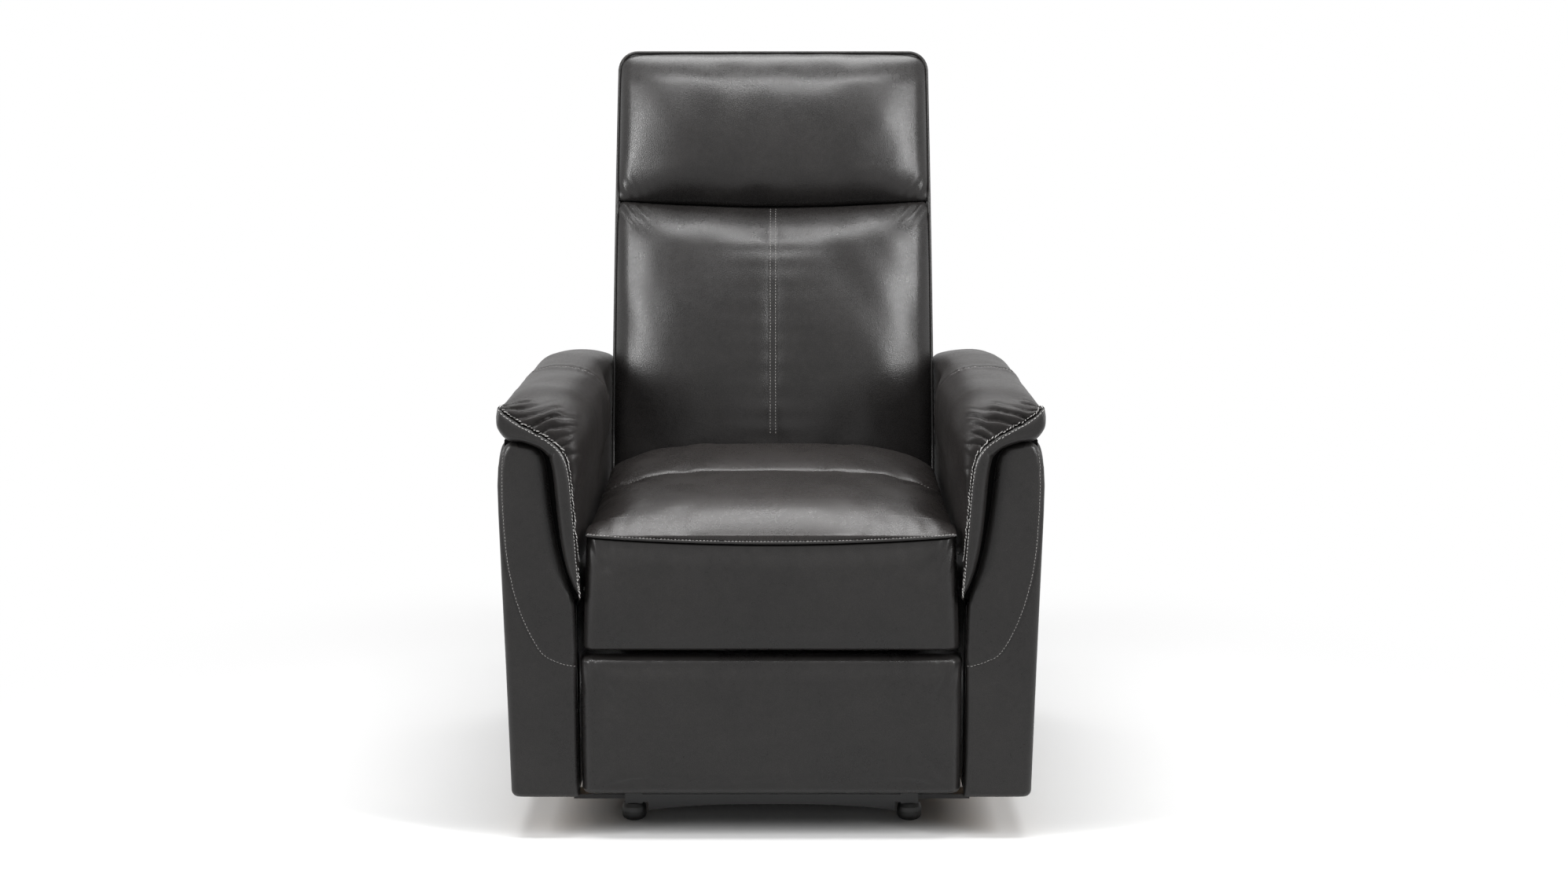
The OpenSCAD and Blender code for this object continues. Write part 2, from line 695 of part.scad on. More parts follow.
// Rise of the seat along its depth and draw-in of its sides, as shares
rise_shares = [
    [0, 0.02], [0.02, 0.14], [0.05, 0.3], [0.1, 0.46], [0.18, 0.58], [0.3, 0.66], [0.45, 0.7],
    [0.57, 0.72], [0.6, 0.72], [0.615, 0.66], [0.63, 0.73], [0.7, 0.8], [0.8, 0.92], [0.9, 1],
    [0.955, 0.93], [0.985, 0.78], [1, 0.55]
];
seat_half_shares = [
    [0, 0.985], [0.05, 1], [0.3, 1], [0.58, 0.995], [0.615, 0.985], [0.65, 0.995], [0.9, 1], [1, 0.97]
];
seat_ring_points = 28;
// Fall of the crown towards its sides, least thickness of the nose and drop of the side seam
seat_edge_drop = 24;
nose_least = 3;
side_seam_drop = 4;
nose_mid_share = 0.35;
cushion_power = 0.42;
// Rings along the seat, as shares of its depth: those of the nose, then the rest
seat_nose_shares = [0, 0.012, 0.03, 0.055, 0.075];
seat_ring_shares = [
    0.095, 0.14, 0.2, 0.3, 0.42, 0.53, 0.59, 0.615, 0.64, 0.7, 0.78, 0.86, 0.92, 0.96, 0.985, 1
];
// Step in the underside where the cushion passes behind the border
step_ring_share = 0.003;
function seat_ring(t, nose) =
    let (y = t * (seat_d + border_bulge / 2) - border_bulge / 2,
        half = seat_w / 2 * lookup(t, seat_half_shares),
        top = seam_h + seat_rise * lookup(t, rise_shares))
    [for (i = [0:seat_ring_points - 1]) let (a = 360 * i / seat_ring_points,
        cx = sgn_pow(cos(a), cushion_power), cz = sgn_pow(sin(a), cushion_power),
        x = half * cx,
        low = nose ? seam_z(x) + soft_gap : cushion_low,
        crown = max(top - seat_edge_drop * pow(abs(cx), 4) * min(1, t * 6), seam_z(x) + nose_least),
        mid = nose ? low + (crown - low) * nose_mid_share : seam_z(half) - side_seam_drop)
        [x, y, cz > 0 ? mid + cz * (crown - mid) : mid + cz * (mid - low)]];
module seat_cushion() {
    step_t = (border_t + border_bulge / 2 + cut) / (seat_d + border_bulge / 2);
    rings = concat(
        [for (t = seat_nose_shares) if (t < step_t) seat_ring(t, true)],
        [seat_ring(step_t, true), seat_ring(step_t + step_ring_share, false)],
        [for (t = seat_ring_shares) if (t > step_t + 2 * step_ring_share) seat_ring(t, false)]
    );
    color("#403d3d") placed() soft_form(rings,
        [0, -border_bulge / 2, seam_z(0) + soft_gap + fan_in],
        [0, seat_d, (seam_h + cushion_low) / 2]);
}
// Panel that hangs in front of the seat box: rings across the chair
panel_ring_points = 20;
border_half_shares = [
    -1, -0.985, -0.95, -0.88, -0.7, -0.45, -0.2, 0, 0.2, 0.45, 0.7, 0.88, 0.95, 0.985, 1
];
panel_corner = 6;
function end_fall(s, r) = pow(1 - pow(abs(s), r), 1 / r);
function panel_ring(x, s, y_rear, bulge, low, high, corner, flare = 0) =
    let (f = 0.25 + 0.75 * end_fall(min(1, abs(s)), corner),
        mid = (low + high) / 2,
        half = (high - low) / 2 * (0.9 + 0.1 * end_fall(min(1, abs(s)), corner)))
    [for (i = [0:panel_ring_points - 1]) let (a = 360 * i / panel_ring_points,
        cy = sgn_pow(cos(a), 0.5), cz = sgn_pow(sin(a), 0.36))
        [x + s * flare * (1 - cz) / 2,
            cy < 0 ? y_rear / 2 + (y_rear / 2 + bulge * (1 - 0.6 * cz * cz)) * cy * f
                : y_rear / 2 * (1 + cy),
            mid + half * cz]];
module seat_front_border() {
    half = seat_w / 2;
    color("#3a3838") placed() soft_form(
        [for (s = border_half_shares) panel_ring(half * s, s, border_t, border_bulge, border_h,
            seam_z(half * s), panel_corner, border_flare)],
        [-half - border_flare / 2, border_t / 2, (border_h + seam_z(half)) / 2],
        [half + border_flare / 2, border_t / 2, (border_h + seam_z(half)) / 2]);
}
module seat_rivets() {
    color("silver") both() {
        for (p = [drive_high, guide_high]) rivet(p, plate_x, layer_a + steel_t);
        for (p = [front_swing_high, rear_swing_high, hinge]) {
            rod(p, swing_x - layer_gap - rivet_head_t, swing_x - layer_gap, rivet_head_d);
            rod(p, swing_x - layer_gap, plate_x + steel_t, rivet_d);
            rod(p, plate_x + steel_t, plate_x + steel_t + rivet_head_t, rivet_head_d);
        }
    }
}

// Back, drawn upright about its hinge and then leaned
module leaned() {
    placed() translate([0, hinge_y, hinge_h]) rotate([-back_lean, 0, 0]) children();
}
bracket_up = 170;
frame_front = -32;
post_low = 34;
post_in = swing_x + steel_t;
post_w = back_w_top / 2 - shell_t - 2 * soft_gap - post_in;
post_top = back_h - shell_round - shell_t;
back_bolt_up = [70, 140];
module back_bracket() {
    side_plate(swing_x, steel_t) difference() {
        union() {
            bar2d([0, 0], [0, bracket_up / 2], hinge_lobe_w);
            bar2d([frame_front / 3, bracket_up / 2], [frame_front / 3, bracket_up], plate_w);
        }
        bore2d([0, 0]);
        for (z = back_bolt_up) translate([frame_front / 3, z]) circle(d = arm_bolt_d + 2 * run_clear);
    }
}
module back_post() {
    difference() {
        block([post_in, frame_front, post_low], [post_w, post_d, post_top - post_low]);
        for (z = back_bolt_up)
            rod([frame_front / 3, z], post_in - cut, post_in + post_w + cut,
                arm_bolt_d + 2 * run_clear);
    }
}
module back_bracket_left() {
    color("dimgray") leaned() mirror([1, 0, 0]) back_bracket();
}
module back_bracket_right() {
    color("dimgray") leaned() back_bracket();
}
module back_post_left() {
    color("burlywood") leaned() mirror([1, 0, 0]) back_post();
}
module back_post_right() {
    color("burlywood") leaned() back_post();
}
rail_deep = 50;
module back_rails() {
    color("burlywood") leaned() for (z = [post_top - rail_deep, bracket_up + rail_deep / 2])
        block([-post_in, frame_front, z], [2 * post_in, side_rail_t, rail_deep]);
}
strap_w = 50;
strap_t = 1.6;
strap_up_shares = [0.2, 0.35, 0.5, 0.65, 0.8];
strap_reach_share = 0.8;
module back_webbing() {
    half = post_in + post_w * strap_reach_share;
    color("#222222") leaned() for (s = strap_up_shares)
        block([-half, frame_front - strap_t, s * back_h - strap_w / 2], [2 * half, strap_t, strap_w]);
}
module back_bolts() {
    color("silver") leaned() for (z = back_bolt_up, m = [0, 1]) mirror([m, 0, 0]) {
        rod([frame_front / 3, z], swing_x - arm_head_t, swing_x, arm_head_d);
        rod([frame_front / 3, z], swing_x, post_in + post_w - steel_t, arm_bolt_d);
    }
}
pad_back = frame_front - strap_t - soft_gap;
function back_half(z) = (back_w_low + (back_w_top - back_w_low) * pow(z / back_h, 2)) / 2;
// Crown of the two back cushions along their height, as shares of the pad thickness
lumbar_shares = [
    [0, 0.12], [0.04, 0.28], [0.1, 0.52], [0.2, 0.86], [0.3, 0.97], [0.45, 1], [0.62, 0.97],
    [0.78, 0.9], [0.89, 0.8], [0.95, 0.66], [0.985, 0.46], [1, 0.2]
];
head_shares = [
    [0, 0.2], [0.04, 0.46], [0.1, 0.72], [0.2, 0.92], [0.35, 1], [0.55, 0.99], [0.75, 0.93],
    [0.88, 0.82], [0.95, 0.66], [0.985, 0.48], [1, 0.25]
];
// Rings up the two cushions, and how much of the width the ends keep, as shares
lumbar_ring_shares = [
    0, 0.015, 0.05, 0.1, 0.17, 0.26, 0.38, 0.52, 0.66, 0.78, 0.87, 0.93, 0.965, 0.985, 1
];
head_ring_shares = [0, 0.03, 0.08, 0.16, 0.28, 0.42, 0.56, 0.7, 0.82, 0.9, 0.955, 0.985, 1];
lumbar_end_shares = [[0, 0.975], [0.012, 1], [0.988, 1], [1, 0.975]];
head_end_shares = [[0, 0.975], [0.02, 1], [0.94, 1], [0.955, 0.98], [0.985, 0.955], [1, 0.92]];
lumbar_low = 14;
head_end = 2;
back_ring_points = 32;
channel_w = 9;
channel_dip = 7;
// Drop of a cushion towards the middle of the crease, at the share u of its half width
function crease_drop(u, z) =
    crease_sag * (1 - u * u) * lookup(z, [[0, 0], [crease_h, 1], [back_h, 0]]);
function back_ring(z, share, channel, edge) =
    let (half = back_half(z) * edge, deep = back_pad_t * share)
    [for (i = [0:back_ring_points - 1]) let (a = 360 * (i + 0.5) / back_ring_points,
        front = sin(a) > 0,
        u = front ? 1 - 2 * (i + 0.5) / (back_ring_points / 2) : cos(a),
        x = front ? half * sgn_pow(u, 0.9) : half * sgn_pow(cos(a), 0.6),
        round = front ? pow(1 - pow(abs(u), 4.5), 0.5) : 0,
        groove = channel * channel_dip * exp(-pow(x / channel_w, 2)))
        [x,
            front ? pad_back - deep * (0.2 + 0.8 * round) + groove
                : pad_back - 2 * soft_gap * pow(abs(cos(a)), 8),
            z - crease_drop(x / half, z)]];
module lumbar_cushion() {
    h = crease_h - lumbar_low - soft_gap;
    color("#3f3c3c") leaned() soft_form(
        [for (t = lumbar_ring_shares) back_ring(lumbar_low + h * t, lookup(t, lumbar_shares),
            min(1, 6 * (1 - t)), lookup(t, lumbar_end_shares))],
        [0, pad_back - fan_in, lumbar_low - crease_drop(0, lumbar_low)],
        [0, pad_back - fan_in, lumbar_low + h - crease_drop(0, lumbar_low + h)]);
}
module head_cushion() {
    low = crease_h + soft_gap;
    h = back_h - low - head_end;
    color("#3f3c3c") leaned() soft_form(
        [for (t = head_ring_shares) back_ring(low + h * t, lookup(t, head_shares), 0,
            lookup(t, head_end_shares))],
        [0, pad_back - fan_in, low - crease_drop(0, low)],
        [0, pad_back - fan_in, low + h - crease_drop(0, low + h)]);
}
// Outer back: a padded tray over the frame, open to the front and below
shell_side_shares = [0.1, 0.3, 0.5, 0.7, 0.9];
shell_edge = 28;
hinge_round = 44;
module shell_front(inset) {
    low = -3 * shell_edge;
    top = back_h - inset;
    half_low = back_half(low) - inset;
    half_top = back_half(back_h) - inset;
    r = shell_edge - inset / 2;
    polygon(concat(
        [[-half_low, low - inset], [half_low, low - inset]],
        [for (s = shell_side_shares) [back_half(s * back_h) - inset, s * back_h]],
        [for (a = [0:15:90]) [half_top - r + r * cos(a), top - r + r * sin(a)]],
        [for (a = [90:15:180]) [-half_top + r + r * cos(a), top - r + r * sin(a)]],
        [for (s = shell_side_shares) let (z = (1 - s) * back_h) [inset - back_half(z), z]]
    ));
}
module shell_side(inset) {
    r = shell_round - inset;
    front = frame_front - strap_t - (inset > 0 ? cut : 0);
    polygon(concat(
        [[front, back_h - inset], [front, -hinge_round * 0.62]],
        [for (a = [-135:15:-75]) along(hinge_round - inset / 4, a) - [0, inset]],
        [[back_rear * 0.72, -hinge_round * 1.15 - inset],
            [back_rear * 0.93 - inset, -hinge_round * 0.8 - inset],
            [back_rear - inset, -hinge_round * 0.1], [back_rear - inset, back_h * 0.4]],
        [for (a = [0:15:90])
            [back_rear_top - inset - r + r * cos(a), back_h - inset - r + r * sin(a)]]
    ));
}
module back_shell() {
    wide = back_w_low + 2 * cut;
    color("#343232") leaned() difference() {
        intersection() {
            front_plate(-2 * back_rear, 4 * back_rear) shell_front(0);
            side_plate(-wide / 2, wide) shell_side(0);
        }
        intersection() {
            front_plate(-2 * back_rear, 4 * back_rear) shell_front(shell_t);
            side_plate(-wide / 2, wide) shell_side(shell_t);
        }
    }
}

// Footrest mechanism, with narrower links in its outer layer and a wider footrest bracket
outer_link_w = 18;
toe_lobe_w = 24;
module drive_link() {
    color("dimgray") side_plate(layer_a, steel_t) difference() {
        bar2d(drive_high, top_low, link_w);
        for (p = [drive_high, drive_low, top_low]) bore2d(p);
    }
}
module guide_link() {
    color("dimgray") link(guide_high, guide_low, layer_a);
}
module cross_link() {
    color("dimgray") side_plate(layer_b, steel_t) difference() {
        bar2d(guide_low, toe_high, outer_link_w);
        for (p = [guide_low, drive_low, toe_high]) bore2d(p);
    }
}
module top_link() {
    color("dimgray") side_plate(layer_b, steel_t) difference() {
        bar2d(top_low, toe_low, outer_link_w);
        for (p = [top_low, toe_low]) bore2d(p);
    }
}
module link_rivets() {
    color("silver") both() for (p = [drive_low, top_low]) rivet(p, layer_a, layer_b + steel_t);
}
module cross_rivets() {
    color("silver") both() {
        rod(guide_low, layer_b + steel_t, layer_b + steel_t + rivet_head_t, rivet_head_d);
        rod(guide_low, layer_a - layer_gap, layer_b + steel_t, rivet_d);
        rod(guide_low, layer_a - layer_gap - rivet_head_t, layer_a - layer_gap, rivet_head_d);
    }
}
foot_board_y = foot_pad_t + layer_gap;
foot_board_rear = foot_board_y + foot_board_t;
board_inset = 14;
module footrest_bracket() {
    color("dimgray") {
        side_plate(layer_a, steel_t) difference() {
            union() {
                bar2d(toe_high, toe_low, toe_lobe_w);
                polygon([
                    [foot_board_rear, toe_low[1] - link_w], [toe_low[0], toe_low[1] - link_w / 2],
                    [toe_high[0], toe_high[1] + link_w / 2], [foot_board_rear, toe_high[1] + link_w / 4]
                ]);
            }
            for (p = [toe_high, toe_low]) bore2d(p);
        }
        block([layer_a - flange_w, foot_board_rear, toe_low[1] - link_w],
            [flange_w + steel_t, steel_t, toe_high[1] + link_w / 4 - toe_low[1] + link_w]);
    }
}
module footrest_rivets() {
    color("silver") both() for (p = [toe_high, toe_low]) rivet(p, layer_a, layer_b + steel_t);
}
module footrest_board() {
    half = foot_w / 2 - board_inset;
    color("burlywood") placed() block([-half, foot_board_y, foot_low + board_inset],
        [2 * half, foot_board_t, foot_h - 2 * board_inset]);
}
module footrest_pad() {
    half = foot_w / 2;
    color("#3a3838") placed() soft_form(
        [for (s = border_half_shares) panel_ring(half * s, s, foot_pad_t, foot_bulge,
            foot_low, foot_low + foot_h, panel_corner)],
        [-half, foot_pad_t / 2, foot_low + foot_h / 2],
        [half, foot_pad_t / 2, foot_low + foot_h / 2]);
}

left() base_rail();  // base_rail_left
right() base_rail();  // base_rail_right
front_cross_bar();
rear_cross_tube();
feet();
rear_skirt();
arm_brackets();
arm_bolts();
swing_rivets();
left() arm_frame();  // arm_frame_left
right() arm_frame();  // arm_frame_right
left() arm_outer_cover();  // arm_outer_cover_left
right() arm_outer_cover();  // arm_outer_cover_right
left() arm_inner_cover();  // arm_inner_cover_left
right() arm_inner_cover();  // arm_inner_cover_right
left() arm_front_panel();  // arm_front_panel_left
right() arm_front_panel();  // arm_front_panel_right
left() arm_pad();  // arm_pad_left
right() arm_pad();  // arm_pad_right
left() front_swing_link();  // front_swing_link_left
right() front_swing_link();  // front_swing_link_right
left() rear_swing_link();  // rear_swing_link_left
right() rear_swing_link();  // rear_swing_link_right
left() seat_plate();  // seat_plate_left
right() seat_plate();  // seat_plate_right
seat_cross_tubes();
seat_front_rail();
seat_rear_rail();
seat_side_rails();
seat_springs();
seat_dust_cover();
seat_cushion();
seat_front_border();
seat_rivets();
seat_bolts();
back_bracket_left();
back_bracket_right();
back_post_left();
back_post_right();
back_rails();
back_webbing();
lumbar_cushion();
head_cushion();
back_shell();
back_bolts();
left() drive_link();  // drive_link_left
right() drive_link();  // drive_link_right
left() guide_link();  // guide_link_left
right() guide_link();  // guide_link_right
left() cross_link();  // cross_link_left
right() cross_link();  // cross_link_right
left() top_link();  // top_link_left
right() top_link();  // top_link_right
link_rivets();
cross_rivets();
left() footrest_bracket();  // footrest_bracket_left
right() footrest_bracket();  // footrest_bracket_right
footrest_rivets();
footrest_board();
footrest_pad();
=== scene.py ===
import json
import math
import bmesh
import bpy
import numpy as np
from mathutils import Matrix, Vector
from mathutils.bvhtree import BVHTree


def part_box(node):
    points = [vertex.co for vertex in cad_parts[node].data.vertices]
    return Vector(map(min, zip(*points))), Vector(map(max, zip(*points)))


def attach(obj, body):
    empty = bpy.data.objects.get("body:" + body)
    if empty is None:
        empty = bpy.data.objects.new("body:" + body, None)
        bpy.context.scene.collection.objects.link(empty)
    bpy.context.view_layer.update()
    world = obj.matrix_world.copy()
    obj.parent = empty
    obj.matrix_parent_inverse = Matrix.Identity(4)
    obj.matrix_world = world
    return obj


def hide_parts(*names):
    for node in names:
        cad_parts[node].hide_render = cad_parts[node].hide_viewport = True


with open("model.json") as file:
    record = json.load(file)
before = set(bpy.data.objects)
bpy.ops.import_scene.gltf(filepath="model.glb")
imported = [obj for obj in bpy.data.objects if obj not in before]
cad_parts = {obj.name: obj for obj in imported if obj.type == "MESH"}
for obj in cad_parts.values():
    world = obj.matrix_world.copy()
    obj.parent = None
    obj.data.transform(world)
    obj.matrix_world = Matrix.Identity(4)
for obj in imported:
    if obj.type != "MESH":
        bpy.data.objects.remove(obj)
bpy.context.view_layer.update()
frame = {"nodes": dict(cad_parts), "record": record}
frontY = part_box("arm_front_panel_left")[0][1] * 1000

# Shapes are worked out in millimetres, with y = 0 at the front of the arms
chair = {
    "seatWidth": 489, "seamHeight": 416, "seamSag": 9.5, "hingeY": 545, "hingeZ": 330, "lean": 16,
    "backHeight": 738, "backWidthLow": 492, "backTaper": 5.5, "backFront": -34,
    "crease": 500, "creaseSag": 11, "armInner": 258, "armOuter": 349, "armFlare": 11,
    "facingWidth": 98, "armLength": 694, "armLow": 58, "armHigh": 541,
}
sides = ((-1, "left"), (1, "right"))
waveTurn = 6.283  # radians in one wave of a ripple


def ramp(x, low, high):
    # 0 below low, 1 above high, with level ends between them
    t = np.clip((x - low) / (high - low), 0, 1)
    return t * t * (3 - 2 * t)


def bell(x, middle, width):
    # hump of height 1 around the middle
    return np.exp(-((x - middle) / width) ** 2)


def power(v, p):
    # power that keeps the sign
    return np.sign(v) * np.abs(v) ** p


def roll(d, radius):
    # height of a quarter circle at distance d from the edge, 1 past the radius
    t = np.clip(d / radius, 0, 1)
    return np.sqrt(np.clip(1 - (1 - t) ** 2, 0, 1))


def table(x, pairs, blur):
    # value looked up in pairs, averaged over a few shifted places to round its corners
    pairs = np.array(pairs, float)
    total, weight = 0, 0
    for shift in np.linspace(-1.5, 1.5, 9):
        share = math.exp(-shift * shift)
        total = total + share * np.interp(x + shift * blur, pairs[:, 0], pairs[:, 1])
        weight += share
    return total / weight


def ripple(a, b, seed, low=2.0, high=8.0, waves=8):
    # sum of sine waves with seeded directions and phases, about -1 to 1
    dice = np.random.default_rng(seed)
    total = 0
    for wave in range(waves):
        alongA, alongB = dice.uniform(low, high, 2) * dice.choice((-1, 1), 2)
        total = total + np.sin(waveTurn * (alongA * a + alongB * b) + dice.uniform(0, waveTurn))
    return total / waves ** 0.5 / 1.5


def spaced(count, crowd):
    # numbers from -1 to 1: a share of them even, the rest a sine that crowds them towards both ends
    t = np.linspace(-1, 1, count)
    return (1 - crowd) * t + crowd * np.sin(t * math.pi / 2)


def stations(*spans):
    # even numbers over several spans of (from, to, count), with each shared end once
    return np.unique(np.concatenate([np.linspace(*span) for span in spans]))


def curveWeights(count, spans):
    # cubic weights of the four nearest points, for a smooth curve through count points with spans
    # steps between each two
    places = np.linspace(0, count - 1, (count - 1) * spans + 1)
    start = np.minimum(places.astype(int), count - 2)
    t = places - start
    parts = (-t + 2 * t ** 2 - t ** 3, 2 - 5 * t ** 2 + 3 * t ** 3, t + 4 * t ** 2 - 3 * t ** 3,
             t ** 3 - t ** 2)
    weights = np.zeros((len(places), count))
    for step, part in enumerate(parts):
        np.add.at(weights, (np.arange(len(places)), np.clip(start + step - 1, 0, count - 1)), part / 2)
    return weights


def smoothPath(points, spans=12):
    # smooth curve through the points
    points = np.array(points, float)
    return curveWeights(len(points), spans) @ points


def toScene(points):
    # chair millimetres to the row's metres
    return (np.asarray(points, float) + (0, frontY, 0)) / 1000


def leaned(points):
    # points given in the back's own frame, turned about its hinge to its lean
    turn = math.radians(chair["lean"])
    p = np.asarray(points, float)
    return np.stack([
        p[..., 0],
        chair["hingeY"] + p[..., 1] * math.cos(turn) + p[..., 2] * math.sin(turn),
        chair["hingeZ"] - p[..., 1] * math.sin(turn) + p[..., 2] * math.cos(turn)], -1)


def backHalf(z):
    # half width of the back at a height over its hinge
    return chair["backWidthLow"] / 2 - chair["backTaper"] * (z / chair["backHeight"]) ** 2


def gridPoints(x, y, z):
    # points of a grid from x, y and z over its rows and columns, or over only one of the two
    return np.stack(np.broadcast_arrays(x, y, z), -1).astype(float)


def gridFaces(rows, cols, around=False, first=0):
    # quads between neighbouring rows and columns; around joins the last column to the first
    r = np.arange(rows - 1)[:, None] * cols
    c = np.arange(cols if around else cols - 1)[None, :]
    n = (c + 1) % cols
    return np.stack([r + c, r + n, r + cols + n, r + cols + c], -1).reshape(-1, 4) + first


def joined(*grids):
    # several grids of points in one list of points and faces: (points, around)
    allPoints, allFaces, first = [], [], 0
    for points, around in grids:
        rows, cols = points.shape[:2]
        allPoints.append(points.reshape(-1, 3))
        allFaces.append(gridFaces(rows, cols, around, first))
        first += rows * cols
    return np.concatenate(allPoints), np.concatenate(allFaces)


def mirrored(points, side):
    # points drawn on the right, put on the left for side -1
    return np.asarray(points, float) * (side, 1, 1)


def newObject(name, points, faces):
    # object whose mesh has these points, in metres, and these faces
    mesh = bpy.data.meshes.new(name)
    mesh.from_pydata(np.asarray(points).tolist(), [], faces)
    piece = bpy.data.objects.new(name, mesh)
    bpy.context.scene.collection.objects.link(piece)
    return piece


def turnedOutwards(mesh, weld=0.0):
    # faces turned outwards, after doubles within the weld, in metres, are merged
    form = bmesh.new()
    form.from_mesh(mesh)
    if weld > 0:
        bmesh.ops.remove_doubles(form, verts=form.verts, dist=weld)
        bmesh.ops.dissolve_degenerate(form, edges=form.edges, dist=weld / 2)
    bmesh.ops.recalc_face_normals(form, faces=form.faces)
    form.to_mesh(mesh)
    form.free()


def makePiece(name, points, faces, body, material, slotName, weld=0.05):
    # piece from points in chair millimetres, riding on a body; a weld of 0 leaves its mesh as it is
    piece = newObject(name, toScene(points), np.asarray(faces).tolist())
    if weld > 0:
        turnedOutwards(piece.data, weld / 1000)
    piece.data.shade_smooth()
    piece.data.materials.append(material)
    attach(piece, body)
    return piece


def tubeGrid(path, radius, around, up=(0, 0, 1)):
    # circle of the radius carried along the path, square to its direction
    path = np.asarray(path, float)
    along = np.gradient(path, axis=0)
    along /= np.linalg.norm(along, axis=1)[:, None]
    side = np.cross(along, np.broadcast_to(np.array(up, float), along.shape))
    side /= np.linalg.norm(side, axis=1)[:, None]
    top = np.cross(side, along)
    angle = np.linspace(0, 2 * math.pi, around, endpoint=False)[None, :, None]
    return path[:, None] + radius * (np.cos(angle) * side[:, None] + np.sin(angle) * top[:, None])


def evenly(path, step):
    # points of the path at even distances, with the direction at each from half a millimetre around it
    length = np.concatenate([[0], np.cumsum(np.linalg.norm(np.diff(path, axis=0), axis=1))])
    places = np.arange(0.0, length[-1], step)
    points, ahead, behind = [
        np.stack([np.interp(at, length, path[:, axis]) for axis in range(3)], -1)
        for at in (places, np.minimum(places + 0.5, length[-1]), np.maximum(places - 0.5, 0))]
    along = ahead - behind
    return points, along / np.linalg.norm(along, axis=1)[:, None]


def onSurface(piece, points, direction, lift):
    # points dropped along the direction on to a piece, and the surface's normal there
    mesh = piece.data
    tree = BVHTree.FromPolygons([v.co for v in mesh.vertices], [p.vertices for p in mesh.polygons])
    ray = Vector(direction).normalized()
    placed, normals = [], []
    for start in toScene(points):
        hit, normal = tree.ray_cast(Vector(start) - ray * 0.08, ray)[:2]
        if hit is None:
            hit, normal = tree.find_nearest(Vector(start))[:2]
        if normal.dot(ray) > 0:
            normal = -normal
        placed.append(hit + normal * lift / 1000)
        normals.append(normal)
    return np.array(placed) * 1000 - (0, frontY, 0), np.array(normals)


# rings of one stitch: place along it, girth and how deep it dips, as shares of its half length and girth
spindle = {"station": (-1, -0.62, 0, 0.62, 1), "girth": (0.25, 0.85, 1, 0.85, 0.25),
           "dip": (-0.8, -0.05, 0.12, -0.05, -0.8), "flat": 0.8}
spindleCap = np.array([[0, 5, 4, 3], [0, 3, 2, 1]])


def stitches(name, paths, body, material, piece, direction, values):
    # each stitch is a slim spindle of six-sided rings along the seam that dips into the leather at both
    # ends; its slant, shift and length vary by seeded draws
    places, turns, normals, sizes = [], [], [], []
    dice = np.random.default_rng(values["seed"])
    messy = values["messy"]
    for path in paths:
        points, along = evenly(path, values["pitch"])
        points, up = onSurface(piece, points, direction, values["lift"])
        along = along - (along * up).sum(1)[:, None] * up
        along /= np.linalg.norm(along, axis=1)[:, None]
        side = np.cross(up, along)
        along = along + dice.normal(values["slant"], messy, len(points))[:, None] * side
        along /= np.linalg.norm(along, axis=1)[:, None]
        places.append(points + side * dice.normal(0, messy * 2, len(points))[:, None])
        turns.append(along)
        normals.append(up)
        sizes.append(dice.normal(1, messy, len(points)))
    place, along, up = [np.concatenate(rows)[:, None, None] for rows in (places, turns, normals)]
    size = np.concatenate(sizes)[:, None, None, None]
    side = np.cross(up, along)
    half, thick = values["length"] / 2, values["thick"] / 2
    station = np.array(spindle["station"])[:, None, None]
    girth = np.array(spindle["girth"])[:, None] * thick
    dip = np.array(spindle["dip"])[:, None] * thick
    angle = np.linspace(0, 2 * math.pi, 6, endpoint=False)
    grid = (place + size * half * station * along + (girth * np.cos(angle))[..., None] * side
            + (girth * np.sin(angle) * spindle["flat"] + dip)[..., None] * up)
    rings, around = grid.shape[1:3]
    first = rings * around * np.arange(len(grid))[:, None, None]
    farCap = spindleCap[::-1, [0, 3, 2, 1]] + (rings - 1) * around
    parts = (gridFaces(rings, around, True), np.concatenate([spindleCap, farCap]))
    faces = np.concatenate([(part[None] + first).reshape(-1, 4) for part in parts])
    return makePiece(name, grid.reshape(-1, 3), faces, body, material, "bonded_leather_cover", weld=0)


def between(shift, around=False):
    # values at every second row and column, carried smoothly to all of them
    full = np.einsum("ij,jkc->ikc", curveWeights(shift.shape[0], 2), shift)
    cols = shift.shape[1]
    if not around:
        return np.einsum("ij,kjc->kic", curveWeights(cols, 2), full)
    wide = np.concatenate([full[:, -3:], full, full[:, :3]], 1)
    return np.einsum("ij,kjc->kic", curveWeights(cols + 6, 2), wide)[:, 6:6 + 2 * cols]


def softened(shift, passes):
    # each inner point moves halfway to the mean of its four neighbours, a few times over
    for step in range(passes):
        around = (shift[:-2, 1:-1] + shift[2:, 1:-1] + shift[1:-1, :-2] + shift[1:-1, 2:]) / 4
        shift[1:-1, 1:-1] = (shift[1:-1, 1:-1] + around) / 2
    return shift


clothValues = {"quality": 5, "mass": 0.3, "stiffness": 15, "shear": 6, "frames": 20}


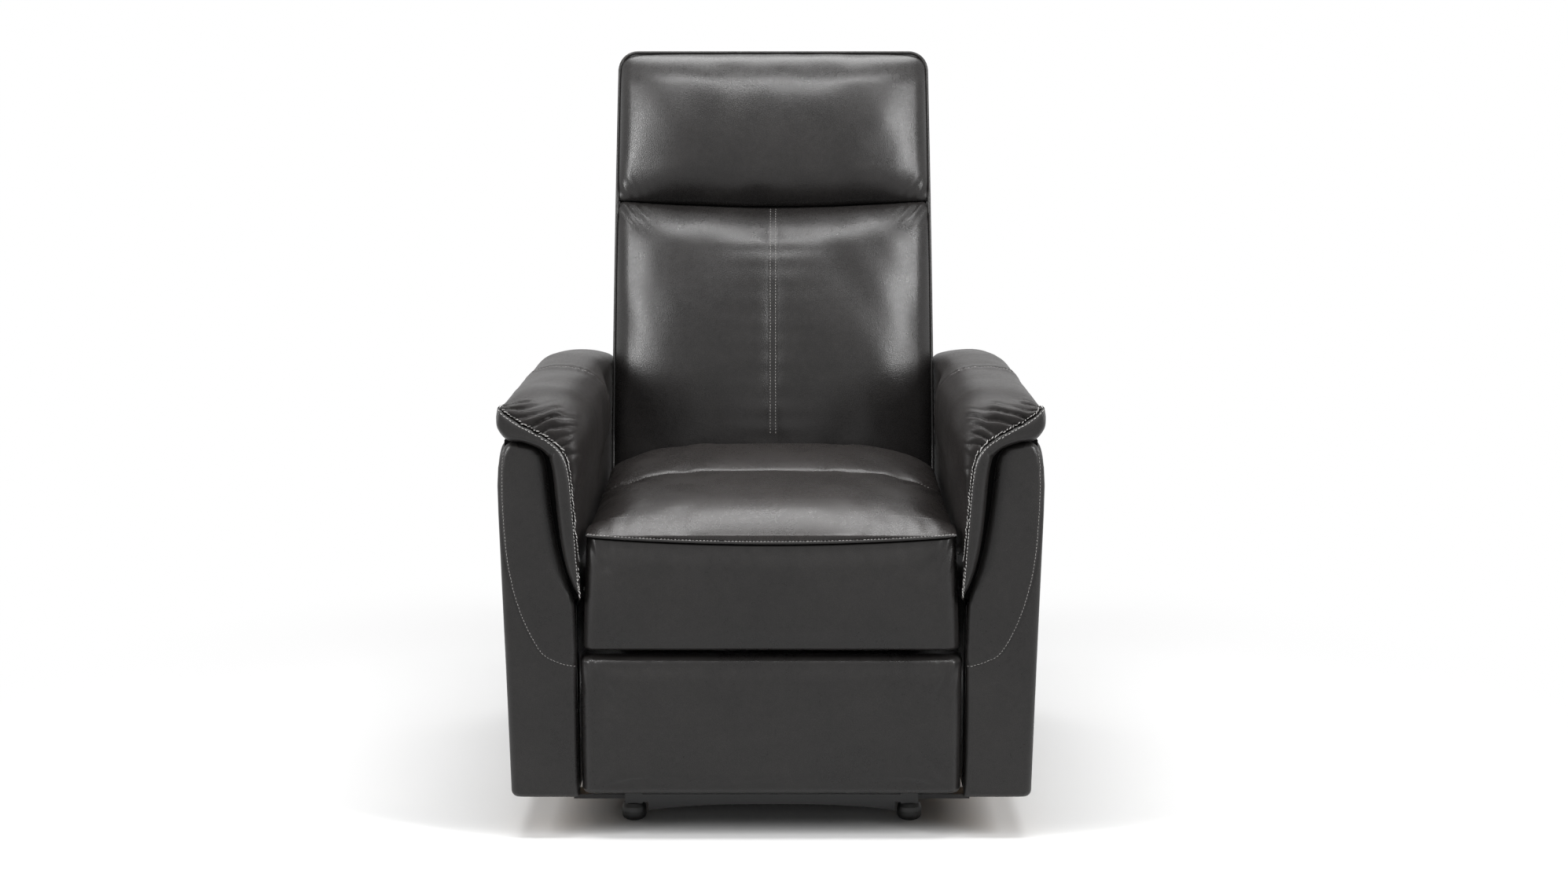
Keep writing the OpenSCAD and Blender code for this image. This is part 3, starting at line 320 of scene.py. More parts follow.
def blownUp(name, grids, held, values):
    # how far the first grid moves when the cover, a little too large, is blown up with Cloth;
    # held gives 1 where a point of the grids is sewn or lies on its frame
    rows, cols = grids[0][0].shape[:2]
    points, faces = joined(*grids)
    unique, back = np.unique(np.round(points, 2), axis=0, return_inverse=True)
    back = back.reshape(-1)
    closed = [list(dict.fromkeys(face)) for face in back[faces].tolist()]
    cover = newObject(name + "_cloth", unique / 1000, [face for face in closed if len(face) > 2])
    turnedOutwards(cover.data)
    weight = np.zeros(len(unique))
    np.maximum.at(weight, back, np.concatenate([part.reshape(-1) for part in held]).astype(float))
    group = cover.vertex_groups.new(name="held")
    for level in np.unique(weight[weight > 0]):
        group.add(np.nonzero(weight == level)[0].tolist(), float(level), "REPLACE")
    cloth = cover.modifiers.new("cover", "CLOTH")
    settings = cloth.settings
    settings.quality = clothValues["quality"]
    settings.mass = clothValues["mass"]
    settings.tension_stiffness = clothValues["stiffness"]
    settings.compression_stiffness = clothValues["stiffness"]
    settings.shear_stiffness = clothValues["shear"]
    settings.bending_stiffness = values["bend"]
    settings.vertex_group_mass = "held"
    settings.shrink_min = -values["slack"]
    settings.use_pressure = True
    settings.uniform_pressure_force = values["pressure"]
    settings.effector_weights.gravity = 0
    cloth.collision_settings.use_collision = False
    cloth.collision_settings.use_self_collision = False
    cloth.point_cache.frame_start, cloth.point_cache.frame_end = 1, clothValues["frames"]
    for step in range(1, clothValues["frames"] + 1):
        bpy.context.scene.frame_set(step)
    blown = cover.evaluated_get(bpy.context.evaluated_depsgraph_get()).data
    moved = np.empty(len(blown.vertices) * 3)
    blown.vertices.foreach_get("co", moved)
    shift = (moved.reshape(-1, 3) * 1000 - unique)[back][:rows * cols].reshape(rows, cols, 3)
    bpy.data.objects.remove(cover)
    bpy.context.scene.frame_set(1)
    far = np.linalg.norm(shift, axis=2, keepdims=True) + 1e-9
    print("  cloth", name, "points", len(unique), "most", round(float(far.max()), 1), "mm, mean",
          round(float(far.mean()), 1))
    # no point moves further than the cap
    return softened(shift * np.tanh(far / values["cap"]) * values["cap"] / far, values["soften"])


def newMaterial(name):
    # material whose Principled shader is joined to the output, with its Object coordinates
    material = bpy.data.materials.new(name)
    material.use_nodes = True
    tree = material.node_tree
    tree.nodes.clear()
    output = tree.nodes.new("ShaderNodeOutputMaterial")
    shader = tree.nodes.new("ShaderNodeBsdfPrincipled")
    tree.links.new(shader.outputs[0], output.inputs[0])
    return material, tree, shader, tree.nodes.new("ShaderNodeTexCoord").outputs["Object"]


def newGroup(name, numbers, outputs):
    # node group that takes a Place and these numbers, and gives these values
    group = bpy.data.node_groups.new(name, "ShaderNodeTree")
    group.interface.new_socket("Place", in_out="INPUT", socket_type="NodeSocketVector")
    for word, number in numbers.items():
        socket = group.interface.new_socket(word, in_out="INPUT", socket_type="NodeSocketFloat")
        socket.default_value = number
    for word in outputs:
        group.interface.new_socket(word, in_out="OUTPUT", socket_type="NodeSocketFloat")
    return group, group.nodes.new("NodeGroupInput").outputs, group.nodes.new("NodeGroupOutput").inputs


def placeGroup(tree, group, place, numbers):
    # the group put in a material, with the material's own numbers
    node = tree.nodes.new("ShaderNodeGroup")
    node.node_tree = group
    tree.links.new(place, node.inputs["Place"])
    for word, number in numbers.items():
        node.inputs[word].default_value = number
    return node.outputs


def put(tree, value, socket):
    # another node's output is linked to the socket, and a colour or a number is set on it
    if isinstance(value, bpy.types.NodeSocket):
        tree.links.new(value, socket)
    else:
        socket.default_value = (*value, 1) if isinstance(value, tuple) else value


def noise(tree, place, scale, detail=3.0, rough=0.5):
    # cloudy values from 0 to 1, finer with a higher scale
    node = tree.nodes.new("ShaderNodeTexNoise")
    for word, value in (("Vector", place), ("Scale", scale), ("Detail", detail), ("Roughness", rough)):
        put(tree, value, node.inputs[word])
    return node.outputs["Fac"]


def waveBands(tree, place, scale, distortion):
    # bands of sine waves, bent by the distortion
    node = tree.nodes.new("ShaderNodeTexWave")
    for word, value in (("Vector", place), ("Scale", scale), ("Distortion", distortion)):
        put(tree, value, node.inputs[word])
    return node


def maths(tree, kind, a, b, clamp=False):
    # one sum, product or power of two values
    node = tree.nodes.new("ShaderNodeMath")
    node.operation = kind
    node.use_clamp = clamp
    put(tree, a, node.inputs[0])
    put(tree, b, node.inputs[1])
    return node.outputs[0]


def mixed(tree, mask, a, b):
    # colour a where the mask is 0 and b where it is 1
    node = tree.nodes.new("ShaderNodeMix")
    node.data_type = "RGBA"
    for socket, value in ((node.inputs[0], mask), (node.inputs[6], a), (node.inputs[7], b)):
        put(tree, value, socket)
    return node.outputs[2]


def spread(tree, value, low, high, toLow=0.0, toHigh=1.0):
    # low to high stretched to toLow to toHigh, and level outside them
    node = tree.nodes.new("ShaderNodeMapRange")
    for socket, number in zip(node.inputs[:5], (value, low, high, toLow, toHigh)):
        put(tree, number, socket)
    return node.outputs[0]


def relief(tree, shader, height, strength, depth):
    # the height felt as bumps of this depth, in metres
    node = tree.nodes.new("ShaderNodeBump")
    node.inputs["Strength"].default_value = strength
    node.inputs["Distance"].default_value = depth
    tree.links.new(height, node.inputs["Height"])
    tree.links.new(node.outputs[0], shader.inputs["Normal"])


grainValues = {"pebble": 400, "depth": 0.00022, "strength": 0.5, "bendScale": 210, "bend": 0.0014,
               "pebbleEdge": 0.34, "poreScale": 2600, "rollScale": 95, "dyeScale": 11, "speckScale": 130,
               "rubScale": 26}


def buildGrain(values):
    # pebbled leather: cells give the pebbles, fine noise the pores, broad noise the dye
    group, given, wanted = newGroup("leatherGrain", {"Pebble": values["pebble"], "Wear": 0.4},
                                    ("Height", "Tone", "Crevice", "Rub"))
    place = given["Place"]
    bend = group.nodes.new("ShaderNodeTexNoise")
    bend.inputs["Scale"].default_value = values["bendScale"]
    group.links.new(place, bend.inputs["Vector"])
    shift = group.nodes.new("ShaderNodeVectorMath")
    shift.operation = "MULTIPLY_ADD"
    group.links.new(bend.outputs["Color"], shift.inputs[0])
    shift.inputs[1].default_value = (values["bend"],) * 3
    group.links.new(place, shift.inputs[2])
    cells = group.nodes.new("ShaderNodeTexVoronoi")
    cells.feature = "DISTANCE_TO_EDGE"
    group.links.new(shift.outputs[0], cells.inputs["Vector"])
    group.links.new(given["Pebble"], cells.inputs["Scale"])
    pebble = spread(group, cells.outputs["Distance"], 0.0, values["pebbleEdge"])
    rounded = maths(group, "MULTIPLY", maths(group, "POWER", pebble, 0.55), 0.75)
    pores = maths(group, "MULTIPLY", noise(group, place, values["poreScale"], 2.0), 0.05)
    rolling = maths(group, "MULTIPLY", noise(group, place, values["rollScale"]), 0.9)
    put(group, maths(group, "ADD", rounded, maths(group, "ADD", pores, rolling)), wanted["Height"])
    dye = maths(group, "MULTIPLY", noise(group, place, values["dyeScale"], 4.0, 0.6), 0.65)
    specks = maths(group, "MULTIPLY", noise(group, place, values["speckScale"]), 0.35)
    put(group, maths(group, "ADD", dye, specks), wanted["Tone"])
    put(group, spread(group, pebble, 0.0, 0.5, 1.0, 0.0), wanted["Crevice"])
    rub = spread(group, noise(group, place, values["rubScale"], 5.0, 0.65), 0.45, 0.75)
    put(group, maths(group, "MULTIPLY", rub, given["Wear"]), wanted["Rub"])
    return group


leatherGrain = buildGrain(grainValues)


def leather(name, values):
    # dyed leather: darker in the crevices, rubbed lighter in places, gloss broken by the grain
    material, tree, shader, place = newMaterial(name)
    grain = placeGroup(tree, leatherGrain, place, {"Pebble": grainValues["pebble"], "Wear": values["wear"]})
    colour = mixed(tree, spread(tree, grain["Tone"], 0.32, 0.68), values["deep"], values["light"])
    colour = mixed(tree, maths(tree, "MULTIPLY", grain["Rub"], 0.5), colour,
                   tuple(min(1, 1.5 * c) for c in values["light"]))
    colour = mixed(tree, maths(tree, "MULTIPLY", grain["Crevice"], 0.45), colour,
                   tuple(0.45 * c for c in values["deep"]))
    put(tree, colour, shader.inputs["Base Color"])
    gloss = spread(tree, grain["Tone"], 0.3, 0.7, values["rough"] - 0.04, values["rough"] + 0.05)
    dull = maths(tree, "MULTIPLY", grain["Crevice"], 0.12)
    put(tree, maths(tree, "ADD", gloss, dull), shader.inputs["Roughness"])
    shader.inputs["Specular IOR Level"].default_value = values["shine"]
    relief(tree, shader, grain["Height"], grainValues["strength"], grainValues["depth"])
    return material


leatherValues = {
    "cushionLeather": {"deep": (0.0085, 0.0079, 0.0077), "light": (0.0145, 0.0133, 0.0129),
                       "rough": 0.25, "wear": 0.4, "shine": 0.33},
    # litSeatLeather is the cushion leather made lighter for the seat's upward face: painted light from
    # above, with more wear rubbed in
    "litSeatLeather": {"deep": (0.0125, 0.0108, 0.0103), "light": (0.0205, 0.0176, 0.0167),
                   "rough": 0.27, "wear": 0.6, "shine": 0.33},
    "padLeather": {"deep": (0.0092, 0.0081, 0.0078), "light": (0.0155, 0.0136, 0.013),
                   "rough": 0.35, "wear": 0.5, "shine": 0.16},
    "coverLeather": {"deep": (0.0085, 0.0079, 0.0077), "light": (0.0145, 0.0133, 0.0129),
                     "rough": 0.29, "wear": 0.3, "shine": 0.33},
}
cushionLeather, litSeatLeather, padLeather, coverLeather = [
    leather(name, values) for name, values in leatherValues.items()]


def buildTwist():
    # two plies twisted round each other: fine slanting bands
    group, given, wanted = newGroup("threadTwist", {"Twist": 420}, ("Band",))
    put(group, waveBands(group, given["Place"], given["Twist"], 2).outputs["Fac"], wanted["Band"])
    return group


def threadMaterial(name, values):
    # the bands coloured and raised
    material, tree, shader, place = newMaterial(name)
    band = placeGroup(tree, threadTwist, place, {"Twist": values["twist"]})["Band"]
    put(tree, mixed(tree, band, values["deep"], values["light"]), shader.inputs["Base Color"])
    shader.inputs["Roughness"].default_value = 0.6
    relief(tree, shader, band, 0.4, 0.0002)
    return material


threadValues = {
    "greyThread": {"deep": (0.11, 0.105, 0.10), "light": (0.25, 0.24, 0.232), "twist": 420},
    "brightThread": {"deep": (0.19, 0.184, 0.178), "light": (0.42, 0.41, 0.40), "twist": 420},
}
threadTwist = buildTwist()
thread, brightThread = [threadMaterial(name, values) for name, values in threadValues.items()]


def buildWeave():
    # plain weave: two waves of threads square to each other, and lint over them
    group, given, wanted = newGroup("plainWeave", {"Threads": 300}, ("Woven", "Lint"))
    across = waveBands(group, given["Place"], given["Threads"], 0.6)
    upright = waveBands(group, given["Place"], given["Threads"], 0.6)
    upright.bands_direction = "Z"
    woven = maths(group, "MULTIPLY", across.outputs["Fac"], upright.outputs["Fac"])
    lint = maths(group, "ADD", noise(group, given["Place"], 60, 5.0, 0.7), 0.4)
    put(group, woven, wanted["Woven"])
    put(group, maths(group, "MULTIPLY", woven, lint, clamp=True), wanted["Lint"])
    return group


def clothMaterial(name, values):
    # lighter and raised where the threads cross, with a soft sheen
    material, tree, shader, place = newMaterial(name)
    weave = placeGroup(tree, plainWeave, place, {"Threads": values["threads"]})
    put(tree, mixed(tree, weave["Lint"], values["deep"], values["light"]), shader.inputs["Base Color"])
    shader.inputs["Roughness"].default_value = 0.9
    shader.inputs["Sheen Weight"].default_value = values["sheen"]
    shader.inputs["Specular IOR Level"].default_value = values["gloss"]
    relief(tree, shader, weave["Woven"], 0.6, 0.0003)
    return material


clothFinishes = {
    "blackBackingCloth": {"deep": (0.006, 0.006, 0.0062), "light": (0.03, 0.029, 0.029),
                          "threads": 300, "sheen": 0.25, "gloss": 0.5},
    # paintedShadeCloth: near black and almost without gloss; painted shade for the creases and slots that
    # fall dark
    "paintedShadeCloth": {"deep": (0.0022, 0.0021, 0.0021), "light": (0.006, 0.0058, 0.0058),
                   "threads": 300, "sheen": 0.0, "gloss": 0.06},
    "jutelikeWebbing": {"deep": (0.02, 0.019, 0.018), "light": (0.07, 0.066, 0.06),
                        "threads": 500 / 3, "sheen": 0.25, "gloss": 0.5},
}
plainWeave = buildWeave()
blackCloth, paintedShadeCloth, webbing = [clothMaterial(name, values) for name, values in clothFinishes.items()]


def buildTimber():
    # rings stretched along the board, bent by noise, and fine pores
    group, given, wanted = newGroup("timberRings", {"Rings": 3.2}, ("Ring", "Pores"))
    stretch = group.nodes.new("ShaderNodeMapping")
    stretch.inputs["Scale"].default_value = (9.0, 1.1, 9.0)
    group.links.new(given["Place"], stretch.inputs["Vector"])
    rings = waveBands(group, stretch.outputs[0], given["Rings"], 7)
    rings.wave_type = "RINGS"
    rings.inputs["Detail"].default_value = 3
    rings.inputs["Detail Scale"].default_value = 1.4
    put(group, rings.outputs["Fac"], wanted["Ring"])
    put(group, noise(group, stretch.outputs[0], 60, 4.0, 0.7), wanted["Pores"])
    return group


def timberMaterial(name, values):
    # the ring's colour over the pale one, with darker streaks where the pores gather
    material, tree, shader, place = newMaterial(name)
    grain = placeGroup(tree, timberRings, place, {"Rings": values["rings"]})
    colour = mixed(tree, grain["Ring"], values["pale"], values["ring"])
    colour = mixed(tree, spread(tree, grain["Pores"], 0.52, 0.75, 0.0, 0.6), colour, values["streak"])
    put(tree, colour, shader.inputs["Base Color"])
    put(tree, spread(tree, grain["Pores"], 0.3, 0.7, 0.55, 0.75), shader.inputs["Roughness"])
    relief(tree, shader, grain["Pores"], 0.35, 0.0006)
    return material


timberValues = {
    "pineTimber": {"pale": (0.60, 0.43, 0.26), "ring": (0.42, 0.27, 0.145), "streak": (0.27, 0.165, 0.085),
                   "rings": 3.2},
    "blackPaintedBoard": {"pale": (0.014, 0.013, 0.013), "ring": (0.009, 0.009, 0.009),
                          "streak": (0.02, 0.018, 0.017), "rings": 3.2},
}
timberRings = buildTimber()
timber, paintedBoard = [timberMaterial(name, values) for name, values in timberValues.items()]


def buildSpots():
    # worn or dusty spots: the peaks of a noise, from 0 at From to 1 at To
    group, given, wanted = newGroup("wornSpots", {"Scale": 42, "Detail": 6, "From": 0.6, "To": 0.78},
                                    ("Spots",))
    cloud = noise(group, given["Place"], given["Scale"], given["Detail"], 0.7)
    put(group, spread(group, cloud, given["From"], given["To"]), wanted["Spots"])
    return group


def spottedMaterial(name, values):
    # powder coat scuffed to grey, or rubber with dust in it: duller where the spots are
    material, tree, shader, place = newMaterial(name)
    spots = placeGroup(tree, wornSpots, place, values["spots"])["Spots"]
    put(tree, mixed(tree, spots, values["plain"], values["spotted"]), shader.inputs["Base Color"])
    put(tree, spread(tree, spots, 0.0, 1.0, *values["rough"]), shader.inputs["Roughness"])
    relief(tree, shader, noise(tree, place, values["fine"], 2.0), values["bumps"], 0.0002)
    return material


spottedValues = {
    "blackSteel": {"plain": (0.0075, 0.0075, 0.008), "spotted": (0.022, 0.022, 0.023),
                   "rough": (0.36, 0.58), "fine": 900, "bumps": 0.3,
                   "spots": {"Scale": 42, "Detail": 6.0, "From": 0.6, "To": 0.78}},
    "mouldedRubber": {"plain": (0.009, 0.009, 0.009), "spotted": (0.024, 0.023, 0.022),
                      "rough": (0.42, 0.7), "fine": 1200, "bumps": 0.35,
                      "spots": {"Scale": 70, "Detail": 5.0, "From": 0.5, "To": 0.8}},
}
wornSpots = buildSpots()
steel, rubber = [spottedMaterial(name, values) for name, values in spottedValues.items()]
zincValues = {"dark": (0.52, 0.52, 0.53), "pale": (0.68, 0.67, 0.65), "cloud": 140, "lines": 1800,
              "rough": (0.24, 0.42)}


def zincSteel(values):
    # bright zinc: metal with cloudy patches and fine drawn lines
    material, tree, shader, place = newMaterial("zincSteel")
    cloud = noise(tree, place, values["cloud"], 4.0, 0.6)
    put(tree, mixed(tree, cloud, values["dark"], values["pale"]), shader.inputs["Base Color"])
    shader.inputs["Metallic"].default_value = 1
    put(tree, spread(tree, cloud, 0.3, 0.7, *values["rough"]), shader.inputs["Roughness"])
    relief(tree, shader, noise(tree, place, values["lines"], 2.0), 0.2, 0.0001)
    return material


slotMaterials = {
    "bonded_leather_cushion": cushionLeather, "bonded_leather_cover": coverLeather,
    "black_backing_cloth": blackCloth, "frame_timber": timber, "black_steel": steel,
    "zinc_steel": zincSteel(zincValues), "foot_rubber": rubber,
}
nodeMaterials = {"back_webbing": webbing, "footrest_board": paintedBoard, "seat_front_rail": paintedBoard,
                 "seat_side_rails": paintedBoard, "seat_rear_rail": paintedBoard}
for part in frame["record"]["subparts"]:
    node = frame["nodes"][part["node"]]
    node.data.materials.clear()
    node.data.materials.append(nodeMaterials.get(part["node"], slotMaterials[part["material_slot"]]))
print("materials: leather, thread, cloth, timber, steel, zinc and rubber")


# crease is the end that meets the other cushion; gather is where the leather bunches at its ends: place
# and width in from the side and up from the crease, strength, and slope of the folds
headValues = {
    "low": 500.6, "high": 735.5, "depth": 57, "edge": 20, "sideDome": 135, "topRoll": 58, "lowRoll": 52,
    "corner": 24, "cols": 151, "rows": 111, "calm": (25, 95), "dome": (0.9, 0.1, 2), "crease": "low",
    "seed": 5,
    "fullness": [[0, 0.72], [0.15, 0.83], [0.35, 0.96], [0.5, 1], [0.65, 0.98], [0.8, 0.9], [1, 0.7]],
    "gather": {"side": 14, "sideWide": 26, "up": 14, "upWide": 16, "strength": 0.9, "slope": 0.22},
    "blow": {"pressure": 4, "slack": 0.0, "cap": 13, "bend": 3.0, "soften": 4},
}
lumbarValues = {
    "low": 14, "high": 499.8, "depth": 58, "edge": 22, "sideDome": 140, "topRoll": 74, "lowRoll": 90,
    "corner": 10, "cols": 169, "rows": 191, "calm": (110, 215), "dome": (0.88, 0.12, 4), "crease": "high",
    "seed": 9, "seamDip": 4.5, "seamWidth": 16,
    "fullness": [[0, 0.3], [0.12, 0.46], [0.3, 0.75], [0.43, 0.93], [0.56, 1], [0.68, 0.985], [0.82, 0.91],
                 [1, 0.74]],
    "gather": {"side": 16, "sideWide": 30, "up": -16, "upWide": 18, "strength": 1.5, "slope": 0.3},
    "blow": {"pressure": 4, "slack": 0.0, "cap": 13, "bend": 3.0, "soften": 12},
}


def backCushion(name, values):
    # front face: its height over the frame is the depth times a quarter-circle roll from each of its four
    # edges, times a fullness looked up by height and a dome across; rear face: the same outline, flat
    u = spaced(values["cols"], 0.8)[None, :]
    v = spaced(values["rows"], 0.8)[:, None]
    low, high = values["low"], values["high"]
    z = (low + high) / 2 + (high - low) / 2 * v
    toEnd = (high - low) / 2 * (1 - np.abs(v))
    r = np.where(v > 0, values["corner"], 5.0)
    cornerIn = r - np.sqrt(np.clip(r * r - np.clip(r - toEnd, 0, r) ** 2, 0, None))
    half = backHalf(z) - 0.8 - cornerIn
    x = half * u
    toSide = half * (1 - np.abs(u))
    domed = 1 - (1 - np.clip(toSide / values["sideDome"], 0, 1)) ** 2.3
    side = 0.1 + 0.3 * roll(toSide, values["edge"]) + 0.6 * domed
    top = 0.1 + 0.9 * roll(high - z, values["topRoll"]) ** 0.95
    bottom = 0.1 + 0.9 * roll(z - low, values["lowRoll"]) ** 0.95
    up = table((z - low) / (high - low), values["fullness"], 0.08)
    flat, dome, steepness = values["dome"]
    dome = flat + dome * (1 - u ** steepness)
    deep = values["depth"] * side * top * bottom * up * dome
    # the leather gathers at the two ends of the crease
    folds, crease = values["gather"], values[values["crease"]]
    gather = bell(toSide, folds["side"], folds["sideWide"]) * bell(z, crease + folds["up"], folds["upWide"])
    deep = deep + folds["strength"] * gather * np.sin(toSide * 0.36 + (z - crease) * folds["slope"])
    seamed = "seamDip" in values
    if seamed:
        # soft pulls that run from the seam towards the sides
        deep = deep + 0.3 * bell(x, 0, 60) * np.sin(z * 0.19 + 0.6 * np.sin(z * 0.045))
    deep = deep + 0.7 * ripple(x / 492, z / 492 * 0.6, values["seed"]) * side
    # both cushions hang down towards the middle of the crease
    hang = np.interp(z, [0, chair["crease"], chair["backHeight"]], [0, chair["creaseSag"], 0])
    edge = np.minimum(toSide, toEnd) < 0.006
    front = gridPoints(x, chair["backFront"] - np.where(edge, 0, deep), z - hang * (1 - u ** 2))
    rear = front.copy()
    rear[..., 1] = chair["backFront"]
    sewn = edge[::2, ::2].astype(float)
    shift = blownUp(name, [(front[::2, ::2], False), (rear[::2, ::2], False)], [sewn, np.ones_like(sewn)],
                    values["blow"])
    corner = (1 - ramp(toSide, *values["calm"])) * (1 - ramp(toEnd, *values["calm"]))
    front = front + between(shift) * (1 - corner)[..., None]
    if seamed:
        # centre seam: a shallow valley with a raised strip between its two rows of stitches
        fade = ramp(deep, 4, 30) * (1 - 0.3 * ramp(z, high - 40, high))
        dip = values["seamDip"] * bell(x, 0, values["seamWidth"]) - 0.9 * bell(x, 0, 3.2)
        front[..., 1] += (dip + 0.7 * (bell(x, -4, 1.3) + bell(x, 4, 1.3))) * fade
    return joined((leaned(front), False), (leaned(rear), False))


head = makePiece("head_pillow", *backCushion("head", headValues), "back", cushionLeather,
                 "bonded_leather_cushion")
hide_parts("head_cushion")
lumbar = makePiece("lumbar_pillow", *backCushion("lumbar", lumbarValues), "back", cushionLeather,
                   "bonded_leather_cushion")
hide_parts("lumbar_cushion")
# near-black sheet behind the crease, between the two cushions and the frame: painted shade in the gap
# between them
shadeSheetValues = {"below": 60, "above": 50, "inset": 5, "behind": 0.8, "cols": 60, "rows": 12}
shadeSheetHalf = backHalf(chair["crease"]) - shadeSheetValues["inset"]
shadeSheetX = np.linspace(-1, 1, shadeSheetValues["cols"])[None, :] * shadeSheetHalf
shadeSheetZ = np.linspace(chair["crease"] - shadeSheetValues["below"], chair["crease"] + shadeSheetValues["above"],
                      shadeSheetValues["rows"])[:, None]
shadeSheet = leaned(gridPoints(shadeSheetX, chair["backFront"] - shadeSheetValues["behind"], shadeSheetZ))
makePiece("crease_shade_sheet", *joined((shadeSheet, False)), "back", paintedShadeCloth, "black_backing_cloth")
print("back cushions:", len(head.data.vertices), len(lumbar.data.vertices))


shellValues = {"rearLow": 100, "rearHigh": 88, "topRound": 40, "cornerRound": 28, "sideRound": 26,
               "low": -46, "wall": 4, "around": 121, "sideCols": 20, "crown": 7, "rows": 120,
               "topRows": 40, "topZone": 60, "cut": 0.36, "puff": 4.0}


def backRoof(rim, values):
    # patch whose points are the sum of the mixes between its rear and front edges and between its two
    # sides, less the mix of its four corners; then lifted to a soft crown
    side = values["sideCols"]
    left, right, rear = rim[:side + 1, None], rim[::-1][:side + 1, None], rim[None, side:len(rim) - side]
    q = np.linspace(0, 1, side + 1)[:, None, None]
    s = np.linspace(0, 1, rear.shape[1])[None, :, None]
    front = rim[0] + (rim[-1] - rim[0]) * s
    corners = (1 - q) * ((1 - s) * rim[0] + s * rim[-1]) + q * ((1 - s) * rear[:, :1] + s * rear[:, -1:])
    roof = (1 - q) * front + q * rear + (1 - s) * left + s * right - corners
    q, s = q[..., 0], s[..., 0]
    rise = (1 - (2 * q - 1) ** 2).clip(0) ** 0.7 * (1 - (2 * s - 1) ** 8)
    roof[..., 2] += rise * (values["crown"] + 0.8 * ripple(s, q * 0.3, 23, 0.5, 2.0, 5))
    return roof


def outerBack(values):
    # U-shaped section, two straight sides and a rear joined by cut corners, carried up the back; a
    # quarter circle draws it in at the top, where the roof closes it
    top, zone = chair["backHeight"], values["topZone"]
    slowing = np.sin(np.linspace(0.02, 1, values["topRows"]) * math.pi / 2)
    z = np.concatenate([np.linspace(values["low"], top - zone, values["rows"]), top - zone + zone * slowing])
    z = z[:, None]
    t = np.linspace(-1, 1, values["around"])[None, :]
    rear = np.interp(z, [values["low"], 0.4 * top, top],
                     [values["rearLow"] * 0.94, values["rearLow"], values["rearHigh"]])
    over = np.clip(z - (top - values["topRound"]), 0, values["topRound"])
    rear = rear - values["topRound"] + np.sqrt(values["topRound"] ** 2 - over ** 2)
    overSide = np.clip(z - (top - values["cornerRound"]), 0, values["cornerRound"])
    half = backHalf(z) + 0.4 - values["cornerRound"] + np.sqrt(values["cornerRound"] ** 2 - overSide ** 2)
    # walk out from the middle of the rear and forward along the side, measured in millimetres
    walk = np.abs(t) * (rear - chair["backFront"] + half)
    fromCorner = walk - half
    x = np.where(fromCorner < 0, walk, half)
    y = np.where(fromCorner < 0, rear, rear - fromCorner)
    r = values["sideRound"]
    near = np.clip(1 - np.abs(fromCorner) / (1.6 * r), 0, 1) ** 2
    x = np.sign(t) * (x - near * r * values["cut"])
    y = y - near * r * values["cut"]
    tall = (1 - (2 * z / top - 0.95) ** 2).clip(0)
    wide = np.cos(np.clip(x / half, -1, 1) * math.pi / 2) ** 0.7
    y = y + values["puff"] * tall * wide * ramp(-fromCorner, 0, 60)
    y = y + 0.9 * ripple(x / 500, z / 700, 21, 0.4, 2.2, 6) * ramp(-fromCorner, 4, 60)
    body = gridPoints(x, y, z)
    return joined((leaned(body), False), (leaned(backRoof(body[-1], values)), False))


shell = makePiece("outer_back", *outerBack(shellValues), "back", coverLeather, "bonded_leather_cover")
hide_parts("back_shell")
thicken = shell.modifiers.new("wall", "SOLIDIFY")
thicken.thickness = shellValues["wall"] / 1000
thicken.offset = -1
print("outer back:", len(shell.data.vertices))

pipingValues = {"radius": 2.6, "around": 10, "out": 0.6, "forward": 4.5, "low": 20, "sideRows": 60,
                "cornerRows": 10}


def pipingPath(values):
    # up one side of the back, a quarter circle round its corner, and the same on the other side
    top = chair["backHeight"] + values["out"]
    r = shellValues["cornerRound"]
    rise = np.linspace(values["low"], top - r, values["sideRows"])
    angle = np.linspace(0, math.pi / 2, values["cornerRows"])[1:]
    cornerX = backHalf(top) + values["out"] - r + r * np.cos(angle)
    x = np.concatenate([backHalf(rise) + values["out"], cornerX])
    z = np.concatenate([rise, top - r + r * np.sin(angle)])
    x, z = np.concatenate([x, -x[::-1]]), np.concatenate([z, z[::-1]])
    return gridPoints(x, chair["backFront"] - values["forward"], z)


pipe = tubeGrid(leaned(pipingPath(pipingValues)), pipingValues["radius"], pipingValues["around"],
                (0, 1, 0.3))
makePiece("back_piping", *joined((pipe, True)), "back", cushionLeather, "bonded_leather_cover")


seatValues = {
    "depth": 494, "front": -4, "rise": 52, "edgeDrop": 24, "under": 339, "power": 0.42, "noseStep": 0.0972,
    "around": 200, "crossSeam": 0.615, "rows": ((0, 0.14, 46), (0.14, 0.98, 131), (0.98, 1, 10)),
    "blow": {"pressure": 3.5, "slack": 0.002, "cap": 8, "bend": 3.0, "soften": 0},
}
# share of the rise and of the width from front to rear
riseShares = [[0, 0.02], [0.02, 0.14], [0.05, 0.3], [0.1, 0.46], [0.18, 0.58], [0.3, 0.66], [0.45, 0.7],
              [0.57, 0.72], [0.6, 0.72], [0.615, 0.67], [0.63, 0.73], [0.7, 0.8], [0.8, 0.92], [0.9, 1],
              [0.955, 0.93], [0.985, 0.78], [1, 0.55]]
widthShares = [[0, 0.99], [0.03, 1], [0.58, 1], [0.615, 0.99], [0.65, 1], [0.9, 1], [1, 0.97]]


def seamZ(x):
    # sewn front edge of the seat, a parabola that is lowest in the middle
    return chair["seamHeight"] - chair["seamSag"] * (1 - (2 * x / chair["seatWidth"]) ** 2)


